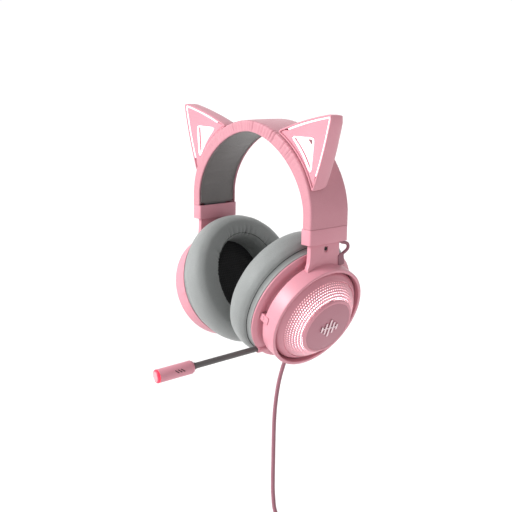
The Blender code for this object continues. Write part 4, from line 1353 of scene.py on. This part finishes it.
@dataclass
class EarCushion:
    """A foam ring in protein leather, sewn near its base and at its inner lip, and gathered into its opening.
    """

    base: float = 50.4
    rows: tuple[tuple[float, float, float], ...] = (
        (0.1, 0.1, -7.3), (0.5, 0.5, -9.0), (1.4, 1.4, -11.0), (3.2, 2.9, -13.1), (5.8, 5.3, -17.0),
        (6.6, 6.1, -21.5), (6.4, 5.9, -27.0), (4.3, 3.5, -32.4), (0.6, -1.2, -35.9), (-2.6, -6.2, -36.7),
        (-7.0, -11.6, -36.7), (-10.6, -16.0, -35.7), (-12.6, -18.4, -33.2), (-13.7, -19.6, -27.0),
        (-13.7, -19.6, -16.0), (-13.7, -19.6, -9.6), (-7.0, -10.0, -9.5),
    )
    columns: int = 64
    around: int = 144
    puff: float = 0.9
    stitches: int = 120
    lip_height: float = 38.3
    lip_width: float = 32.4
    folds: float = 31.0
    cloth_face: float = -9.4
    cloth_swell: float = 1.6

    def surface(self, u: float, v: float) -> Vector:
        """Finds a point of the slack skin, in the cup's axes.

        Args:
            u: The share of the way round its section.
            v: The share of the way round the cup.

        Returns:
            The point.
        """
        higher, wider, depth = along(self.rows, u, closed=True)
        turn = math.tau * v
        return Vector(((self.base + wider) * math.cos(turn), (self.base + higher) * math.sin(turn), depth))

    def build(self) -> None:
        """Builds both cushions, their seams and the cloth over the drivers."""
        skin = formed(self.columns, self.around, lambda u, v: CUP @ self.surface(u, v))
        back = CUP.inverted()

        def held(point: Vector) -> bool:
            local = back @ point
            size = math.hypot(local.x, local.y)
            return local.z > -11.0 or size < 34.5 or (size < 40.0 and local.z > -30.0)

        skin = puffed(skin, held, self.puff)
        for vertex in skin.data.vertices:
            vertex.co = CUP @ self.worked(back @ vertex.co)
        for piece in fit_both(shade(skin, 60.0), "padded_cushion", GREY_SKIN, "cup", "ear_cushion"):
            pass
        self.seam(0.148, "base_seam", 0.32)
        self.seam(0.668, "lip_seam", 0.3)
        self.build_cloth()
        dress_solid(BLACK_SHELL, *both_sides("cushion_plate", "driver_frame"))
        dress_solid(STEEL, *both_sides("driver_magnet"))
        dress_solid(CLEAR_FILM, *both_sides("driver_diaphragm"))

    def worked(self, point: Vector) -> Vector:
        """Presses the seams in and gathers the skin towards the opening.

        Args:
            point: A point of the skin, in the cup's axes.

        Returns:
            Where it ends up.
        """
        turn = math.atan2(point.y, point.x)
        radial = Vector((point.x, point.y, 0.0)).normalized()
        size = math.hypot(point.x, point.y)
        oval = math.hypot(self.lip_height * math.sin(turn), self.lip_width * math.cos(turn))
        outer = size > self.base - 6.0
        groove = 0.75 * hump(point.z, -12.7, 0.65) if outer else 0.0
        point = point - radial * groove
        wobble = noise.noise(Vector((math.cos(turn) * 2.0, math.sin(turn) * 2.0, 1.0)))
        lip = ease(point.z, -31.0, -34.0) * (1.0 - ease(size - oval, 1.0, 10.5))
        patchy = noise.noise(Vector((math.cos(turn) * 3.1, math.sin(turn) * 3.1, 5.0)))
        uneven = 0.55 + 0.9 * max(patchy, -0.4)
        fold = abs(math.sin(turn * self.folds + 6.0 * wobble)) ** 0.6
        point.z += (1.2 + 1.0 * math.sin(turn)) * lip * uneven * (1.0 - fold)
        sag = 0.25 * noise.noise(Vector((point.x * 0.09, point.y * 0.09, point.z * 0.12)))
        return point + radial * (sag if outer else 0.0)

    def seam(self, share: float, name: str, radius: float) -> None:
        """Lays a round of thread into the skin.

        Args:
            share: Where in the skin's section.
            name: The seam's name.
            radius: The thread's radius.
        """
        count = self.stitches
        knots = [self.worked(self.surface(share, i / count)) for i in range(count)]

        def place(u: float, v: float) -> Vector:
            i = round(v * count) % count
            here, after = knots[i], knots[(i + 1) % count]
            radial = Vector((here.x, here.y, 0.0)).normalized()
            turn = math.tau * u
            proud = 0.12 + radius * math.cos(turn)
            side = (after - here).normalized().cross(radial).normalized()
            return CUP @ (here + radial * proud + side * radius * math.sin(turn))

        fit_both(formed(6, count, place), f"cushion_{name}", SEAM_THREAD, "cup")

    def build_cloth(self) -> None:
        """The dark cloth stretched over the driver, bowed out over its frame."""
        higher, wider, _ = self.rows[-3]

        def place(u: float, v: float) -> Vector:
            turn = math.tau * v
            x, y = (self.base + wider) * u * math.cos(turn), (self.base + higher) * u * math.sin(turn)
            swell = self.cloth_swell * (1.0 - ease(math.hypot(x, y), 20.0, 29.0))
            swell += 0.15 * noise.noise(Vector((x, y, 0)) * 0.15)
            return CUP @ Vector((x, y, self.cloth_face - swell))

        cloth = formed(28, 96, place)
        face(cloth, outwards=False)
        apply_modifier(cloth, "SOLIDIFY", thickness=0.4 * MM, offset=-1.0)
        fit_both(cloth, "driver_cloth", EAR_CLOTH, "cup", "ear_cloth")


# Cat ears

@dataclass
class CatEars:
    """The two ears: domed pink shells, and faces with lit lines along the edge and round the opening."""

    front: float = -17.8
    depth: float = 13.5
    wall: float = 1.5
    light_width: float = 1.1
    tip: tuple[float, float] = (17.6, 103.0)
    hole: tuple[tuple[float, float], ...] = ((-25.5, 82.2), (-3.5, 82.3), (-6.0, 58.0))
    root_top: float = -45.6
    root_side: float = 40.4
    steps: int = 14

    def bowed(self, start: Vector, end: Vector, bulge: float) -> Loop:
        """Points from start up to end, bowed sideways in the middle."""
        side = Vector((end.y - start.y, start.x - end.x)).normalized()
        return [start.lerp(end, i / self.steps) - side * bulge * math.sin(math.pi * i / self.steps)
                for i in range(self.steps)]

    @staticmethod
    def relaxed(points: Loop) -> Loop:
        """Rounds an outline's corners by averaging neighbours."""
        trios = zip(points[-1:] + points[:-1], points, points[1:] + points[:1])
        return [(a + 2 * b + c) / 4 for a, b, c in trios]

    @staticmethod
    def inset(points: Loop, distance: float) -> Loop:
        """Moves an outline inwards.

        Args:
            points: The outline.
            distance: How far, less than 0 for outwards.

        Returns:
            The moved outline.
        """
        moved = []
        for before, here, after in zip(points[-1:] + points[:-1], points, points[1:] + points[:1]):
            first, second = (here - before).normalized(), (after - here).normalized()
            normal = Vector((first.y, -first.x))
            middle = (normal + Vector((second.y, -second.x))).normalized()
            moved.append(here + middle * distance / max(middle.dot(normal), 0.6))
        return moved

    def outlines(self) -> tuple[Loop, Loop]:
        """Works out where the ear stands on the band.

        Returns:
            The ear's outline and its opening's, as paired points in X and Z.
        """
        band = Headband()
        _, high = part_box("headband_cover")
        leg, datum = high.x / MM, high.z / MM - band.foot - band.outer_rise
        power = band.outer_power / 2
        top = math.acos((1.0 + self.root_top / leg) ** power)
        side = math.asin(((self.root_side - band.foot) / band.outer_rise) ** power)
        seat = []
        for i in range(self.steps + 1):
            turn = side + (top - side) * i / self.steps
            outer, _ = band.pair(math.pi - turn, 2 * leg, datum)
            seat.append(Vector((outer.x + 0.6 * math.cos(turn), outer.z + 0.6 * math.sin(turn))))
        tip, *corners = (Vector((leg + out, datum + up)) for out, up in (self.tip, *self.hole))
        outer = self.bowed(seat[-1], tip, 1.6) + self.bowed(tip, seat[0], 1.6) + seat[:-1]
        first, peak, last = corners
        hole = self.bowed(first, peak, 0.0) + self.bowed(peak, last, 0.0) + self.bowed(last, first, -1.5)
        return self.relaxed(outer), self.relaxed(hole)

    def lofted(self, rings: Sequence[tuple[Loop, float]], span: tuple[int, int] | None = None
               ) -> bpy.types.Object:
        """Makes a closed skin through matching outlines.

        Args:
            rings: The outlines, each with its depth behind the ear's front.
            span: The first and the last point kept, where the skin stops short of a whole round.

        Returns:
            The skin.
        """
        count = len(rings[0][0])
        first, last = span or (0, count)

        def place(u: float, v: float) -> Vector:
            outline, deep = rings[round(u * len(rings)) % len(rings)]
            point = outline[(first + round(v * (last - first))) % count]
            return Vector((point.x, self.front + deep, point.y)) * MM

        obj = formed(len(rings), last - first, place, 40.0)
        if span:
            with edit_mode(obj):
                bpy.ops.mesh.fill_holes(sides=0)
                bpy.ops.mesh.normals_make_consistent(inside=False)
        return obj

    def build(self) -> None:
        """Builds both ears."""
        outer, hole = self.outlines()
        deep, wall = self.depth, self.wall
        lining = self.inset(hole, -1.7)
        inner = self.inset(outer, wall)

        def mixed(share: float) -> Loop:
            return [a.lerp(b, share) for a, b in zip(outer, lining)]

        shell = [
            (self.inset(outer, 0.35), -0.15), (self.inset(outer, 0.08), 0.15), (outer, 0.8),
            (self.inset(outer, 0.1), deep * 0.35), (self.inset(outer, 0.35), deep * 0.7),
            (self.inset(outer, 0.9), deep * 0.95), (mixed(0.16), deep * 1.12), (mixed(0.36), deep * 1.22),
            (mixed(0.7), deep * 1.25), (mixed(0.92), deep * 1.2), (lining, deep * 1.08), (lining, deep * 0.8),
            (self.inset(inner, 0.7), deep * 0.55), (inner, deep * 0.3), (inner, 0.3),
            (self.inset(outer, wall - 0.3), -0.15),
        ]
        fit_both(self.lofted(shell), "domed_ear_shell", PINK_SHELL, "headband", "ear_shell")
        near, far = self.inset(outer, wall + 0.25), self.inset(outer, wall + 0.25 + self.light_width)
        strip = [(near, 0.5), (self.inset(near, 0.3), 0.2), (self.inset(far, -0.3), 0.2), (far, 0.5),
                 (far, 2.2), (near, 2.2)]
        fit_both(self.lofted(strip, (3, 2 * self.steps - 3)), "ear_edge_light", WHITE_GLOW, "headband",
                 "ear_outer_light")
        edge, rim = self.inset(outer, wall + self.light_width + 0.5), self.inset(hole, -1.6)
        seat = self.inset(outer, wall + 0.3)
        edge = [a if 2 < i < 2 * self.steps - 2 else b for i, (a, b) in enumerate(zip(edge, seat))]
        panel = [(edge, 0.9), (self.inset(edge, 0.35), 0.55), (self.inset(rim, -0.35), 0.55), (rim, 0.9),
                 (rim, 2.0), (edge, 2.0)]
        fit_both(self.lofted(panel), "ear_face_panel", PINK_SHELL, "headband", "ear_face")
        bezel = self.inset(hole, -1.3)
        lip = [(self.inset(hole, -0.25), 0.1), (hole, 0.4), (hole, 1.2), (bezel, 1.2), (bezel, 0.4),
               (self.inset(hole, -1.05), 0.1)]
        fit_both(self.lofted(lip), "ear_opening_light", WHITE_GLOW, "headband", "ear_inner_light")
        # painted shade: a dusky pink band just behind the lit lip stands in for the shade on the opening's
        # inner wall
        shade_collar = [(hole, 1.3), (hole, 2.9), (bezel, 2.9), (bezel, 1.3)]
        fit_both(self.lofted(shade_collar), "ear_opening_painted_shade_band", DUSKY_DISC, "headband")
        sleeve = [(hole, 3.0), (hole, deep * 1.06), (self.inset(hole, -0.6), deep * 1.1),
                  (bezel, deep * 1.06), (bezel, 3.0)]
        fit_both(self.lofted(sleeve), "ear_opening_sleeve", WHITE_GLOW, "headband")
        dress_solid(WHITE_BOARD, *both_sides("ear_led_board"))


# Controls, microphone and cord

@dataclass
class Controls:
    """The volume wheel and the mute button on the rear of the left cup."""

    wheel_inset: float = 7.445
    wheel_turn: float = -19.22
    wheel_radius: float = 8.4
    wheel_thickness: float = 1.5
    mute_inset: float = 2.532
    mute_turn: float = 7.04
    mute_radius: float = 1.9
    mute_hole: float = 2.2
    notches: int = 40
    notch_depth: float = 0.35

    @staticmethod
    def axes(flange: float, inset: float, turn: float) -> Matrix:
        """Axes on the flange, inset from its rim, at a turn up from the back."""
        angle = math.radians(turn)
        reach = flange - inset
        return CUP @ Matrix.Translation((reach * math.cos(angle), reach * math.sin(angle), 0.0))

    def openings(self, flange: float, edge: float) -> list[bpy.types.Object]:
        """Makes the tools that cut the wheel's window and the button's hole.

        Args:
            flange: The flange's radius.
            edge: The depth of its edge.

        Returns:
            Both tools.
        """
        reach, low, top = self.wheel_radius + 0.7, edge - 3.0, edge + 2.15
        window = spun([(0.0, low), (reach, low), (reach, top), (0.0, top)],
                      self.axes(flange, self.wheel_inset, self.wheel_turn), 64)
        reach, low = self.mute_hole, -9.0
        hole = spun([(0.0, low), (reach, low), (reach, 0.0), (0.0, 0.0)],
                    self.axes(flange, self.mute_inset, self.mute_turn), 32)
        return [window, hole]

    def build(self) -> None:
        """Builds the wheel with its notches, and the button."""
        shells = CupShells()
        low = shells.flange_edge + 0.3
        outline = []
        for i in range(self.notches * 4):
            radius = self.wheel_radius - (self.notch_depth if i % 4 >= 2 else 0.0)
            turn = math.tau * i / (self.notches * 4)
            outline.append((radius * math.cos(turn), radius * math.sin(turn)))
        wheel = plate(outline, low, low + self.wheel_thickness,
                      self.axes(shells.flange, self.wheel_inset, self.wheel_turn))
        fit(shade(soften(wheel, 0.18, 2, 50.0), 30.0), "notched_volume_wheel", BLACK_SHELL, "volume_wheel",
            "volume_wheel")
        top = shells.flange_face + 0.9
        outline = rounded([(0.0, top - 2.4), (self.mute_radius, top - 2.4), (self.mute_radius, top),
                           (0.9, top), (0.6, top - 0.25), (0.0, top - 0.3)], 0.3, 3)
        button = spun(outline, self.axes(shells.flange, self.mute_inset, self.mute_turn), 40)
        fit(button, "dished_mute_button", BLACK_SHELL, "mute_button", "mute_button")


@dataclass
class Microphone:
    """The boom, its capsule with three slots, and the red ring at its tip."""

    root: tuple[float, float, float] = (-31.5, -37.5, -6.5)
    towards: tuple[float, float, float] = (-0.9806, -0.148, -0.128)
    boom_radius: float = 2.4
    boom_inside: float = 14.0
    boom_length: float = 62.3
    capsule_radius: float = 5.4
    capsule_length: float = 29.6
    slots: int = 3
    slot_pitch: float = 2.5
    slot_slant: float = 48.0
    slots_face: tuple[float, float, float] = (0.75, -0.63, 0.19)

    def axes(self) -> Matrix:
        """The microphone's axes, in millimetres; Z runs out along the boom."""
        return CUP @ rod_axes(self.root, self.towards)

    def bore(self) -> bpy.types.Object:
        """The tool that cuts the boom's way through the base."""
        radius = self.boom_radius + 0.35
        return spun([(0.0, -24.0), (radius, -24.0), (radius, 12.0), (0.0, 12.0)], self.axes(), 32)

    def build(self) -> None:
        """Builds the guide, the boom, the capsule and its light."""
        axes = self.axes()
        guide = rounded([(2.75, -7.0), (3.75, -7.0), (3.75, 3.6), (3.3, 4.6), (2.75, 4.6)], 0.3, 3)
        fit(spun(guide, axes, 48), "microphone_guide", PINK_SHELL, "left_cup")
        radius, end = self.boom_radius, self.boom_length
        boom = [(0.0, -self.boom_inside), (radius, -self.boom_inside), (radius, 0.0), (radius, 30.0),
                (radius, end - 2.4), (radius + 0.45, end - 1.8), (radius + 0.45, end + 0.2), (0.0, end + 0.2)]
        fit(spun(rounded(boom, 0.25, 2), axes, 48), "soft_boom", GREY_RUBBER, "microphone", "mic_boom")
        low, wide = end + 0.3, self.capsule_radius
        high = low + self.capsule_length
        shell = [(3.0, low), (wide - 0.9, low), (wide - 0.7, low + 1.2), (wide, low + 1.6), (wide, high),
                 (wide - 0.5, high), (wide - 0.5, low + 2.6), (3.0, low + 1.2)]
        body = spun(rounded(shell, 0.3, 3), axes, 72)
        for i in range(self.slots):
            body = carved(body, self.slot(low + 10.4 + self.slot_pitch * i))
        fit(shade(body, 40.0), "slotted_capsule", PINK_SHELL, "microphone", "mic_capsule")
        core = [(0.0, low + 1.4), (wide - 0.75, low + 2.8), (wide - 0.75, high - 0.3), (0.0, high - 0.3)]
        fit(spun(core, axes, 48), "capsule_core", DARK_RUBBER, "microphone")
        ring = [(wide - 1.7, high - 0.2), (wide - 0.6, high + 0.05), (wide + 0.02, high + 0.1),
                (wide + 0.02, high + 1.5), (wide - 0.5, high + 2.2), (wide - 1.7, high + 2.2)]
        fit(spun(rounded(ring, 0.3, 3), axes, 72), "red_light_ring", RED_GLOW, "microphone", "mic_light")
        lens = [(0.0, high), (wide - 1.5, high), (wide - 1.2, high + 2.3), (0.0, high + 2.75)]
        fit(spun(rounded(lens, 0.4, 4), axes, 64), "pale_tip_lens", PALE_RED, "microphone")

    def slot(self, at: float) -> bpy.types.Object:
        """Makes the tool that cuts one slanted slot in the capsule's side.

        Args:
            at: How far along the boom.

        Returns:
            The tool.
        """
        outline = rounded([(-2.1, -0.42), (2.1, -0.42), (2.1, 0.42), (-2.1, 0.42)], 0.4, 3)
        outward = self.axes().inverted().to_3x3() @ Vector(self.slots_face)
        angle = math.atan2(outward.y, outward.x)
        flat = Matrix.Translation((0.0, 0.0, at)) @ SIDE_VIEW
        slant = Matrix.Rotation(math.radians(self.slot_slant), 4, "Z")
        turned = Matrix.Rotation(angle, 4, "Z") @ flat @ slant
        return plate(outline, self.capsule_radius - 1.4, self.capsule_radius + 1.0, self.axes() @ turned)


@dataclass
class UsbCord:
    """The USB cord: its gland, its run down, the coil with its tie, and the plug."""

    radius: float = 1.8
    spacing: float = 3.72
    middle: float = 22.0
    turns: float = 7.5
    per_turn: int = 14
    slots: tuple[tuple[int, int], ...] = ((1, 1), (0, 1), (-1, 1), (-1, 0), (0, 0), (1, 0), (1, -1), (0, -1))
    loop: float = 9.6
    strap_turn: float = -150.0
    strap_width: float = 11.0
    grip_neck: float = 3.0
    grip_bars: int = 4
    tip: Vector = field(init=False)
    centre: Vector = field(init=False)
    plug: Vector = field(init=False)

    def __post_init__(self) -> None:
        """Finds the gland's tip, the coil's centre and the plug's end."""
        self.tip = CUP @ Vector((0.0, -58.2, -4.7))
        low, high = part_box("usb_cord_coil")
        self.centre = (low + high) / 2
        low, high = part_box("usb_plug_body")
        self.plug = Vector(((low.x + high.x) / 2, (low.y + high.y) / 2, high.z))

    def winding(self) -> list[Vector]:
        """Winds the coil, slot by slot, from its rear outer turn to its front one.

        Returns:
            Its knots.
        """
        knots = []
        total = round(self.turns * self.per_turn)
        for i in range(total + 1):
            turns = i / self.per_turn
            slot = min(int(turns), len(self.slots) - 1)
            here = self.slots[slot]
            after = self.slots[min(slot + 1, len(self.slots) - 1)]
            share = ease(turns - slot, 0.78, 1.0)
            out = (here[0] + (after[0] - here[0]) * share) * self.spacing
            back = (here[1] + (after[1] - here[1]) * share) * self.spacing
            angle = -math.tau * turns
            reach = self.middle + out
            knots.append(self.centre + Vector((reach * math.cos(angle), back, reach * math.sin(angle))) * MM)
        return knots

    def route(self) -> list[Vector]:
        """Runs the whole cord, from inside the gland to inside the plug.

        Returns:
            Its knots.
        """
        down = [(-0.11, 0.0, -0.3), (-2.78, -0.1, -7.3), (-5.08, -0.4, -14.8), (-6.88, -0.9, -23.0),
                (-8.08, -1.5, -32.0), (-8.78, -2.1, -40.2), (-9.28, -2.6, -49.6), (-9.58, -2.9, -61.6),
                (-9.68, -3.0, -76.6), (-9.75, -3.0, -94.6), (-9.78, -3.0, -112.6), (-9.3, -2.8, -128.0)]
        knots = [self.tip + Vector(point) * MM for point in down]
        side = self.middle + self.spacing
        into = [(0.16, 0.2, 44.0), (0.52, 1.2, 33.0), (0.84, 2.6, 22.0), (0.98, 3.5, 11.0)]
        knots += [self.centre + Vector((side * share, back, up)) * MM for share, back, up in into]
        knots += self.winding()
        end = knots[-1]
        knots += [end + Vector(point) * MM for point in ((0.3, -1.6, 5.5), (1.0, -4.2, 11.0))]
        middle = self.plug + Vector((-self.loop, 0.0, 2.0)) * MM
        for turn, forward in ((172, 3.2), (135, 1.6), (90, 0.5), (45, 0.1), (8, 0.0)):
            angle = math.radians(turn)
            out = Vector((self.loop * math.cos(angle), forward, self.loop * math.sin(angle)))
            knots.append(middle + out * MM)
        knots.append(self.plug - Vector((0, 0, 1.0)) * MM)
        return knots

    def build(self) -> None:
        knots = self.route()
        cord = cord_curve(knots, self.radius)
        cord.name = "usb_lead"
        cord.data.materials.append(CORD_JACKET.material())
        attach(cord, "left_cup")
        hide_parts("usb_cord", "usb_cord_coil", "usb_cord_tail")
        LOG.info("usb_lead through %d points, %.3f m", len(knots), cord.data.splines[0].calc_length())
        relief = self.build_gland()
        pieces = [relief, self.build_tie(), *self.build_plug()]
        list(knots[0])

    def build_gland(self) -> bpy.types.Object:
        """Makes the ribbed and tapered relief where the cord leaves the cup.

        Returns:
            The relief.
        """
        outline = [(1.9, -2.6), (2.5, -2.6), (3.1, -0.6), (3.1, 0.8), (2.7, 1.0)]
        for rib in range(3):
            at = 1.4 + 1.6 * rib
            size = 2.75 - 0.16 * rib
            outline += [(size - 0.45, at), (size, at + 0.35), (size, at + 1.0), (size - 0.45, at + 1.3)]
        outline += [(2.15, 6.6), (1.9, 6.6)]
        axes = CUP @ rod_axes((0.0, -51.6, -4.7), (0, -1, 0))
        return fit(spun(rounded(outline, 0.16, 2), axes, 40), "ribbed_cord_relief", CORD_JACKET, "left_cup",
                   "cord_gland")

    def build_tie(self) -> bpy.types.Object:
        """Makes the hook-and-loop strap round the coil, with its overlapping end.

        Returns:
            The strap.
        """
        angle = math.radians(self.strap_turn)
        out = Vector((math.cos(angle), 0.0, math.sin(angle)))
        tangent = Vector((-out.z, 0.0, out.x))
        centre = self.centre + out * self.middle * MM

        def place(u: float, v: float) -> Vector:
            turn = math.tau * (v * 1.12)
            grown = 6.35 + 0.75 * ease(v, 0.86, 0.93)
            reach = grown / max(abs(math.cos(turn)), abs(math.sin(turn)), 0.001)
            reach = min(reach, grown * 1.17)
            return centre + (out * reach * math.cos(turn) + Vector((0, reach * math.sin(turn), 0))
                             + tangent * (u - 0.5) * self.strap_width) * MM

        strap = formed(6, 96, place)
        apply_modifier(strap, "SOLIDIFY", thickness=0.6 * MM, offset=1.0)
        return fit(shade(strap, 50.0), "coil_strap", TIE_CLOTH, "left_cup", "usb_cord_tie")

    def build_plug(self) -> list[bpy.types.Object]:
        """Makes the overmoulded grip, the folded metal shell and its tongue.

        Returns:
            The three pieces.
        """
        low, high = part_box("usb_plug_body")
        centre = (low + high) / 2
        seat = Matrix.Translation((centre.x, centre.y + 0.9 * MM, low.z)) @ UPRIGHT
        strip = rounded([(-5.2, -0.95), (5.2, -0.95), (5.2, 0.95), (-5.2, 0.95)], 0.2, 2)
        grip = fit(self.grip(low, high), "plug_grip", CORD_JACKET, "left_cup", "usb_plug_body")
        shell = fit(self.shell(), "plug_metal_shell", STEEL, "left_cup", "usb_plug_shell")
        tongue = shade(soften(plate(strip, -11.2, 0.6, seat), 0.1, 1))
        return [grip, shell, fit(tongue, "plug_tongue", BLACK_SHELL, "left_cup")]

    def grip(self, low: Vector, high: Vector) -> bpy.types.Object:
        """Makes the plug's grip, drawn in at its top and barred on both faces.

        Args:
            low: The lowest corner of its room, in metres.
            high: The highest corner.

        Returns:
            The grip.
        """
        centre = (low + high) / 2
        wide, thick, tall = (high - low) / MM
        outline = rounded([(-wide / 2, -thick / 2), (wide / 2, -thick / 2), (wide / 2, thick / 2),
                           (-wide / 2, thick / 2)], 2.2, 5)
        base = Matrix.Translation((centre.x, centre.y, low.z)) @ UPRIGHT
        grip = plate(outline, 0.0, tall - self.grip_neck, base)
        with edit_mode(grip):
            bpy.ops.mesh.select_mode(type="FACE")
            bpy.ops.mesh.select_all(action="DESELECT")
        for polygon in grip.data.polygons:
            polygon.select = polygon.normal.z > 0.9
        with edit_mode(grip, whole=False):
            bpy.ops.mesh.extrude_region_move(TRANSFORM_OT_translate={"value": (0, 0, self.grip_neck * MM)})
            bpy.ops.transform.resize(value=(0.45, 0.62, 1.0), center_override=(centre.x, centre.y, high.z))
        bar = rounded([(-6.0, -0.45), (6.0, -0.45), (6.0, 0.45), (-6.0, 0.45)], 0.4, 3)
        for i in range(self.grip_bars):
            flat = base @ Matrix.Translation((0.0, 0.0, 6.0 + 2.6 * i)) @ FRONT_VIEW
            for side in (-1, 1):
                grip = carved(grip, plate(bar, side * (thick / 2 - 0.5), side * (thick / 2 + 1.0), flat))
        return shade(soften(grip, 0.35, 2, 35.0), 40.0)

    @staticmethod
    def shell() -> bpy.types.Object:
        """Makes the plug's metal shell, with its two windows.

        Returns:
            The shell.
        """
        shell = soften(copied("usb_plug_shell"), 0.15, 2)
        low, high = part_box("usb_plug_shell")
        middle = (low + high) / 2
        base = Matrix.Translation((middle.x, middle.y, low.z)) @ UPRIGHT
        front = base @ Matrix.Rotation(math.pi / 2, 4, "X")
        for x in (-2.6, 2.6):
            window = rounded([(x - 1.1, 5.6), (x + 1.1, 5.6), (x + 1.1, 7.8), (x - 1.1, 7.8)], 0.1, 1)
            shell = carved(shell, plate(window, 1.0, 5.0, front))
        return shade(shell, 30.0)


# Studio

@dataclass
class Studio:
    """A pale floor, soft light and the camera. Angles are in degrees, the distance and floor in metres."""

    azimuth: float = 49.738
    elevation: float = 10.950
    roll: float = 0.777
    distance: float = 0.7249
    lens: float = 59.44
    shift: tuple[float, float] = (-0.01875, -0.0543)
    key: float = 3.65
    key_from: tuple[float, float, float] = (-0.5, -1.0, 0.62)
    key_spread: float = 24.0
    room: float = 0.58
    backdrop: float = 1.02
    backdrop_at: tuple[float, float, float] = (-0.74, 0.64, -0.2)
    floor_size: float = 30.0
    floor_height: float = -0.42

    def build(self) -> None:
        """Sets the studio up."""
        scene = bpy.context.scene
        scene.view_settings.view_transform = "Standard"
        self.build_camera(scene)
        scene.world = self.build_world()
        deselect()
        bpy.ops.mesh.primitive_plane_add(size=self.floor_size, location=(0.0, 0.0, self.floor_height))
        floor = bpy.context.object
        floor.name = "studio_floor"
        floor.data.materials.append(WHITE_FLOOR.material())
        data = bpy.data.lights.new("key", "SUN")
        data.energy = self.key
        data.angle = math.radians(self.key_spread)
        key = bpy.data.objects.new("key", data)
        scene.collection.objects.link(key)
        key.rotation_mode = "QUATERNION"
        key.rotation_quaternion = Vector(self.key_from).to_track_quat("Z", "Y")

    def build_world(self) -> bpy.types.World:
        """Makes a white backdrop behind the headset, and a dimmer room towards the front and above.

        Returns:
            The world.
        """
        world = bpy.data.worlds.new("white_studio")
        world.use_nodes = True
        tree = world.node_tree
        sky = tree.nodes["Background"]
        sky.inputs["Color"].default_value = (1.0, 1.0, 1.0, 1.0)
        place = add_node(tree, "ShaderNodeTexCoord").outputs["Generated"]
        facing = add_node(tree, "ShaderNodeVectorMath", {"operation": "DOT_PRODUCT"}, {1: self.backdrop_at},
                          {0: place})
        level = add_node(tree, "ShaderNodeMapRange", {"interpolation_type": "SMOOTHSTEP"},
                         {"From Min": -0.1, "From Max": 0.7, "To Min": self.room, "To Max": self.backdrop},
                         {"Value": facing.outputs["Value"]})
        tree.links.new(level.outputs["Result"], sky.inputs["Strength"])
        return world

    def build_camera(self, scene: bpy.types.Scene) -> None:
        """Stands the camera at the front, to the wearer's left, a little above the cups.

        Args:
            scene: The scene.
        """
        a, e, r = (math.radians(x) for x in (self.azimuth, self.elevation, self.roll))
        back = Vector((math.sin(a) * math.cos(e), -math.cos(a) * math.cos(e), math.sin(e)))
        right = Vector((math.cos(a), math.sin(a), 0.0))
        up = back.cross(right)
        x_axis = right * math.cos(r) + up * math.sin(r)
        y_axis = up * math.cos(r) - right * math.sin(r)
        data = bpy.data.cameras.new("camera")
        data.lens = self.lens
        data.sensor_width = 36.0
        data.shift_x, data.shift_y = self.shift
        camera = bpy.data.objects.new("camera", data)
        scene.collection.objects.link(camera)
        target = Vector((0.0, 0.0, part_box("left_end_cap")[0].z))
        turn = Matrix((x_axis, y_axis, back)).transposed().to_4x4()
        camera.matrix_world = Matrix.Translation(target + back * self.distance) @ turn
        scene.camera = camera


def main() -> None:
    """Builds the headset and its studio."""
    logging.basicConfig(level=logging.INFO, format="%(name)s: %(message)s")
    Studio().build()
    UsbCord().build()
    Headband().build()
    SliderEnds().build()
    CatEars().build()
    Yoke().build()
    CupShells().build()
    EarCushion().build()
    Controls().build()
    Microphone().build()


if __name__ == "__main__":
    main()
